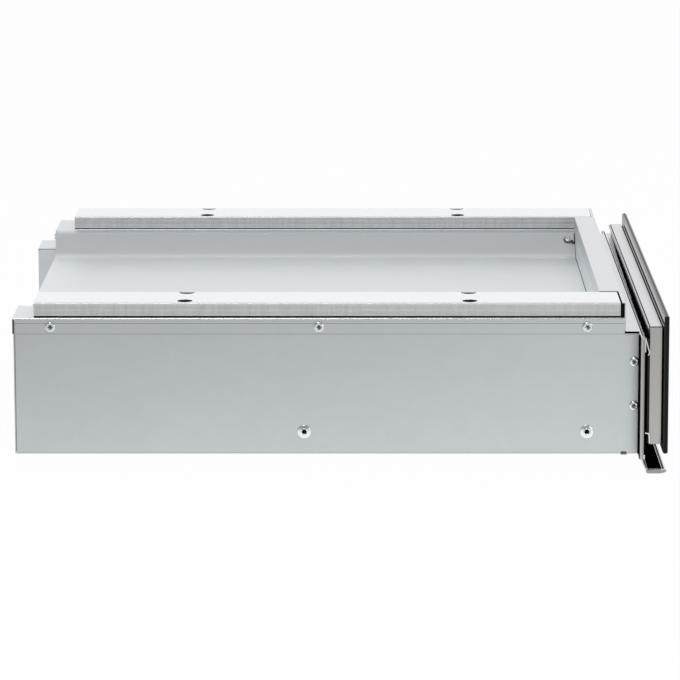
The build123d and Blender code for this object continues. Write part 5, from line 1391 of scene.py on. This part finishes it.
# --- Fasteners ------------------------------------------------------------------------------------
@dataclass
class Fasteners:
    """Pan-head screws with a star recess, hollow domed rivets, the earth clip's plate and tabs, and painted
    shade in recesses, bores and round the earth screw.
    """

    shop: Workshop
    cover_head: float = 4.5 * MM
    frame_head: float = 4.1 * MM
    head_height: float = 2.3 * MM
    recess_radius: float = 2.1 * MM
    earth_washer: float = 4.7 * MM
    earth_head: float = 3.7 * MM
    earth_drop: float = 8.0 * MM
    earth_shift: float = 2.3 * MM
    recess_depth: float = 1.5 * MM
    lobes: int = 6
    rivet_height: float = 1.6 * MM
    rivet_bore: float = 1.75 * MM
    rivet_rim: float = 3.2 * MM
    rivet_radius: float = 6.1 * MM
    # clip's parts in mm: near and far side along Y, top and bottom down the wall, lift off it
    clip_plate: tuple[float, ...] = (-3.4, -13.0, 3.0, 11.5, 0.7)
    clip_tabs: tuple[tuple[float, ...], ...] = ((-6.6, -9.0, 0.8, 10.6, 2.2), (-10.4, -13.4, 8.4, 11.0, 1.6))

    def head(self, point: tuple, direction: tuple, radius: float) -> Mesh:
        """Pan head with a rounded rim and a six-lobed recess.

        The surface's radius at angle a is the profile's radius; inside the recess's rim it is
        scaled by 1 + 0.16 cos 6a, which makes the lobes.

        Args:
            point: Middle of the head's underside.
            direction: The way the head faces.
            radius: The head's radius.

        Returns:
            Vertices and faces.
        """
        height, recess, bend = self.head_height, self.recess_radius, 1.1 * MM
        rim = arc((radius - bend, height - bend), bend, 0, 80, 7)
        profile = np.concatenate([
            [(0.0, 0.0), (radius, 0.0)], rim, [(recess * 1.12, height), (recess, height - 0.15 * MM)],
            [(recess * 0.9, height - 1.4 * MM), (0.0, height - self.recess_depth)],
        ])
        lobed = np.array([0, 0, *[0] * len(rim), 0, 1, 1, 0], float)[:, None]
        axis, angle, circle = around(direction, 48)
        scale = 1 + lobed * (0.16 * np.cos(self.lobes * angle))[None]
        reach = (profile[:, 0][:, None] * scale)[..., None]
        return woven(np.array(point) + profile[:, 1][:, None, None] * axis + reach * circle)

    def star(self, point: tuple, direction: tuple) -> Mesh:
        """Painted shade at the floor of a recess: a flat dark disc whose radius waves as the recess's does.
        """
        axis, angle, circle = around(direction, 48)
        radius = self.recess_radius * (0.70 + 0.26 * np.cos(self.lobes * angle))
        levels = np.array([self.head_height - self.recess_depth, self.head_height - 0.55 * MM])
        return woven(np.array(point) + (radius[:, None] * circle)[None] + levels[:, None, None] * axis)

    @staticmethod
    def seats(name: str, height: float) -> list:
        """Seats and directions of what sticks out sideways, a height inside each solid's outer end."""
        places = []
        for middle, low, high in islands(name):
            side = 1 if middle[0] > 0 else -1
            tip = high[0] if side > 0 else low[0]
            places.append(((tip - side * height, middle[1], middle[2]), (side, 0, 0)))
        return places

    def screws(self) -> None:
        """Heads of the cover and frame screws with painted shade in their recesses, the door screws and the
        earth screw.
        """
        shadows = []
        for name, radius in (("cover_screws", self.cover_head), ("frame_screws", self.frame_head)):
            places = self.seats(name, self.head_height)
            heads = [self.head(point, way, radius) for point, way in places]
            self.shop.piece(f"{name}_heads", joined(heads), Finish.ZINC, "cabinet", (name,))
            shadows += [self.star(point, way) for point, way in places]
        self.shop.piece("screw_recess_shade", joined(shadows), Finish.SHADE, "cabinet")
        self.shop.softened("door_screws", Finish.ZINC, "drawer", Soften(0.2 * MM))
        self.earth()

    @staticmethod
    def wall_lean() -> float:
        """Angle between the trough's far wall and the level."""
        return math.atan2(Casing.trough_drop, Casing.trough_half - Casing.floor_half)

    def on_wall(self, drop: float, lift: float) -> tuple[float, float]:
        """Place (x, z) on the trough's far wall, a drop under its top and lifted off its face."""
        lean = self.wall_lean()
        x = Casing.trough_half - drop / math.tan(lean)
        return x - lift * math.sin(lean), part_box("top_cover")[1].z - drop + lift * math.cos(lean)

    def earth(self) -> None:
        """Earth screw on a washer darkened as painted shade in the trough's far wall, and its clip's tabs on
        a dark plate of painted shade.
        """
        lean = self.wall_lean()
        way = (-math.sin(lean), 0.0, math.cos(lean))
        low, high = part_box("earth_screw")
        y = (low.y + high.y) / 2 - self.earth_shift
        x, z = self.on_wall(self.earth_drop, 0.7 * MM)
        base, reach = -0.9 * MM, self.earth_washer
        washer = np.array([(0.0, base), (reach, base), (reach, 0.0), (0.0, 0.0)])
        head = self.head((x, y, z), way, self.earth_head)
        self.shop.piece("earth_screw_head", head, Finish.ZINC, "cabinet", ("earth_screw",))
        self.shop.piece("earth_washer", turned(washer, (x, y, z), way), Finish.SHADE, "cabinet")
        for name, parts, finish in (("plate", (self.clip_plate,), Finish.SHADE),
                                    ("tabs", self.clip_tabs, Finish.BRIGHT)):
            bars = []
            for near, far, top, bottom, lift in parts:
                outline = np.array([self.on_wall(drop * MM, rise * MM) for drop, rise in
                                    ((top, 0.0), (top, lift), (bottom, lift), (bottom, 0.0))])
                bars.append(bar(outline, Axis.Y, y + far * MM, y + near * MM, 0.15 * MM))
            self.shop.piece(f"earth_clip_{name}", joined(bars), finish, "cabinet")

    def rivets(self) -> None:
        """Domed rivets: a broad pressed dome with a raised ring round its bore, and painted shade as a dark
        disc in the bore.
        """
        bore, rim, outer = self.rivet_bore, self.rivet_rim, self.rivet_radius
        profile = np.concatenate([
            [(bore, -1.5 * MM), (outer, 0.0)], arc((outer - 0.8 * MM, 0.2 * MM), 0.8 * MM, 0, 70, 5),
            [(rim + 0.5 * MM, 1.2 * MM)], arc((rim - 0.5 * MM, 1.1 * MM), 0.5 * MM, 20, 150, 6),
            [(bore, 0.7 * MM)],
        ])
        width, depth = bore + 0.1 * MM, 0.6 * MM
        pit = np.array([(0.0, 0.0), (width, 0.0), (width, depth), (0.0, depth)])
        places = self.seats("runner_rivets", self.rivet_height)
        domes = [ring_on(seat, way, profile) for seat, way in places]
        pits = [turned(pit, seat, way) for seat, way in places]
        self.shop.piece("rivet_domes", joined(domes), Finish.ZINC, "cabinet", ("runner_rivets",))
        self.shop.piece("rivet_bore_shade", joined(pits), Finish.FOAM, "cabinet")

    def build(self) -> None:
        """Makes the fasteners."""
        self.screws()
        self.rivets()


def ring_on(point: tuple, direction: tuple, profile: np.ndarray, steps: int = 36) -> Mesh:
    """Closed section of (radius, height) turned round a line through a point."""
    axis, _, circle = around(direction, steps)
    grid = np.array(point) + profile[None, :, :1] * circle[:, None] + profile[None, :, 1:] * axis
    return woven(grid, closed_path=True)


def islands(name: str) -> list:
    """Middle, lowest and highest corner of each separate solid inside a node."""
    work = bmesh.new()
    work.from_mesh(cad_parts[name].data)
    bmesh.ops.remove_doubles(work, verts=work.verts, dist=NEAR)
    left = set(work.verts)
    found = []
    while left:
        reached, edge = set(), [left.pop()]
        while edge:
            vertex = edge.pop()
            reached.add(vertex)
            nearby = {e.other_vert(vertex) for e in vertex.link_edges} & left
            left -= nearby
            edge += nearby
        points = np.array([v.co[:] for v in reached])
        found.append(((points.min(0) + points.max(0)) / 2, points.min(0), points.max(0)))
    work.free()
    return sorted(found, key=lambda item: tuple(item[0]))


# --- Studio ---------------------------------------------------------------------------------------
@dataclass(frozen=True)
class Lamp:
    """Soft rectangular lamp: its place, the point it looks at, its size and its power in watts."""

    name: str
    place: Colour
    target: Colour
    size: tuple[float, float]
    power: float


@dataclass
class Studio:
    """Camera as in the photograph, soft lamps, a pale floor and a white background."""

    focal: float = 3974.36        # pixels, in a 680-pixel frame
    frame_pixels: float = 680.0
    sensor: float = 0.036
    eye: Colour = (-3.69977, -0.03734, 0.73633)
    pitch: float = 10.517
    middle_pixel: float = 369.08
    ground: float = -0.0148
    dim: float = 0.24
    room_slope: Colour = (1.0, 0.0, -0.3)
    # painted pool of light on the floor, seen only in reflections
    pool_middle: Colour = (0.0, -0.2, -0.0148)
    pool_reach: tuple[float, float] = (0.35, 1.5)
    pool_dim: float = 0.5
    floor_white: float = 0.97
    floor_grey: float = 0.9
    floor_half: float = 30.0
    plinth_inset: float = 0.03
    room_span: tuple[float, float] = (-0.6, 0.75)
    lamps: tuple[Lamp, ...] = (
        Lamp("key_lamp", (-1.5, 0.3, 2.1), (0.0, 0.0, 0.05), (0.9, 0.9), 16.0),
        Lamp("front_lamp", (-0.5, -2.6, 0.9), (0.0, -0.1, 0.05), (1.4, 1.2), 10.0),
        Lamp("low_lamp", (-1.5, -0.8, 0.28), (-0.28, 0.0, 0.05), (0.45, 0.4), 2.0),
    )

    def camera(self) -> None:
        """Camera at the photograph's place; the lens is the focal length times sensor over frame."""
        data = bpy.data.cameras.new("camera")
        data.sensor_width = self.sensor * 1000
        data.lens = self.focal * self.sensor * 1000 / self.frame_pixels
        data.shift_x = 0.5 - self.middle_pixel / self.frame_pixels
        data.clip_end = 100
        eye = placed("camera", data)
        eye.location = self.eye
        eye.rotation_euler = (math.radians(90 - self.pitch), 0, math.radians(-90))
        bpy.context.scene.camera = eye

    def lights(self) -> None:
        """Soft area lamps that look at the object."""
        for lamp in self.lamps:
            data = bpy.data.lights.new(lamp.name, "AREA")
            data.shape = "RECTANGLE"
            data.size, data.size_y = lamp.size
            data.energy = lamp.power
            made = placed(lamp.name, data)
            way = np.array(lamp.target) - np.array(lamp.place)
            flat = math.hypot(way[0], way[1])
            made.location = lamp.place
            made.rotation_euler = (math.atan2(flat, -way[2]), 0, math.atan2(-way[0], way[1]))

    @staticmethod
    def straight(tree: bpy.types.NodeTree) -> bpy.types.NodeSocket:
        """1 for what the camera sees straight on or through glass, else 0."""
        path = node(tree, "ShaderNodeLightPath").outputs
        return maths(tree, "MAXIMUM", path["Is Camera Ray"], path["Is Transmission Ray"])

    def seen(self, tree: bpy.types.NodeTree) -> bpy.types.NodeSocket:
        """1 for what the camera sees straight on, in a reflection or through glass, else 0."""
        glossy = node(tree, "ShaderNodeLightPath").outputs["Is Glossy Ray"]
        return maths(tree, "MAXIMUM", self.straight(tree), glossy)

    def world(self) -> None:
        """White to the eye and behind the object, and a dimmer room on the camera's side and overhead."""
        world = bpy.data.worlds.new("studio")
        world.use_nodes = True
        bpy.context.scene.world = world
        tree = world.node_tree
        tree.nodes.clear()
        way = node(tree, "ShaderNodeTexCoord").outputs["Generated"]
        across = node(tree, "ShaderNodeVectorMath", {0: way, 1: self.room_slope}, operation="DOT_PRODUCT")
        room = mapped(tree, across.outputs["Value"], self.room_span, (self.dim, 1.0), "SMOOTHSTEP")
        strength = maths(tree, "MAXIMUM", room, self.straight(tree))
        shader = node(tree, "ShaderNodeBackground", {"Color": WHITE, "Strength": strength})
        result = node(tree, "ShaderNodeOutputWorld", {"Surface": shader.outputs[0]})
        result.is_active_output = True

    def floor(self) -> None:
        """Pale floor just under the trim and a low plinth under the casing, both with faint shadows.

        In reflections the floor glows white round the object and greyer further off: a painted pool of light,
        as on a lit table.
        """
        material = bpy.data.materials.new("pale_floor")
        material.use_nodes = True
        tree = material.node_tree
        tree.nodes.clear()
        plain = node(tree, "ShaderNodeBsdfDiffuse", {"Color": (*[self.floor_grey] * 3, 1)})
        place = node(tree, "ShaderNodeTexCoord").outputs["Object"]
        away = node(tree, "ShaderNodeVectorMath", {0: place, 1: self.pool_middle}, operation="DISTANCE")
        pool = mapped(tree, away.outputs["Value"], self.pool_reach, (1.0, self.pool_dim), "SMOOTHSTEP")
        level = maths(tree, "MAXIMUM", pool, self.straight(tree))
        white = node(tree, "ShaderNodeEmission", {"Color": WHITE, "Strength": level})
        share = maths(tree, "MULTIPLY", self.seen(tree), self.floor_white)
        mixed = node(tree, "ShaderNodeMixShader", {0: share, 1: plain.outputs[0], 2: white.outputs[0]})
        node(tree, "ShaderNodeOutputMaterial", {"Surface": mixed.outputs[0]})
        half, ground, inset_by = self.floor_half, self.ground, self.plinth_inset
        low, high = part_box("base_plate")
        sheet = np.array([[(x, y, ground) for x in (-half, half)] for y in (-half, half)])
        shapes = {
            "floor": woven(sheet, False, caps=False),
            "plinth": slab((low.x + inset_by, high.x - inset_by), (low.y + inset_by, high.y - inset_by),
                           (ground, 0.0), 0.5 * MM),
        }
        for name, mesh in shapes.items():
            data = bpy.data.meshes.new(name)
            data.from_pydata(mesh[0].tolist(), [], mesh[1])
            data.materials.append(material)
            placed(name, data)

    def build(self) -> None:
        """Sets up the studio."""
        bpy.context.scene.view_settings.view_transform = "Standard"
        self.camera()
        self.world()
        self.lights()
        self.floor()


def main() -> None:
    """Builds the studio and every sub-assembly, and logs each one as it is done."""
    logging.basicConfig(level=logging.INFO, format="%(message)s")
    Studio().build()
    shop = Workshop(Finishes())
    for part in (Casing, TopRails, FrontFrame, Door, Drawer, Runners, Innards, Fasteners):
        part(shop).build()
        LOG.info("%s done", part.__name__)


if __name__ == "__main__":
    main()
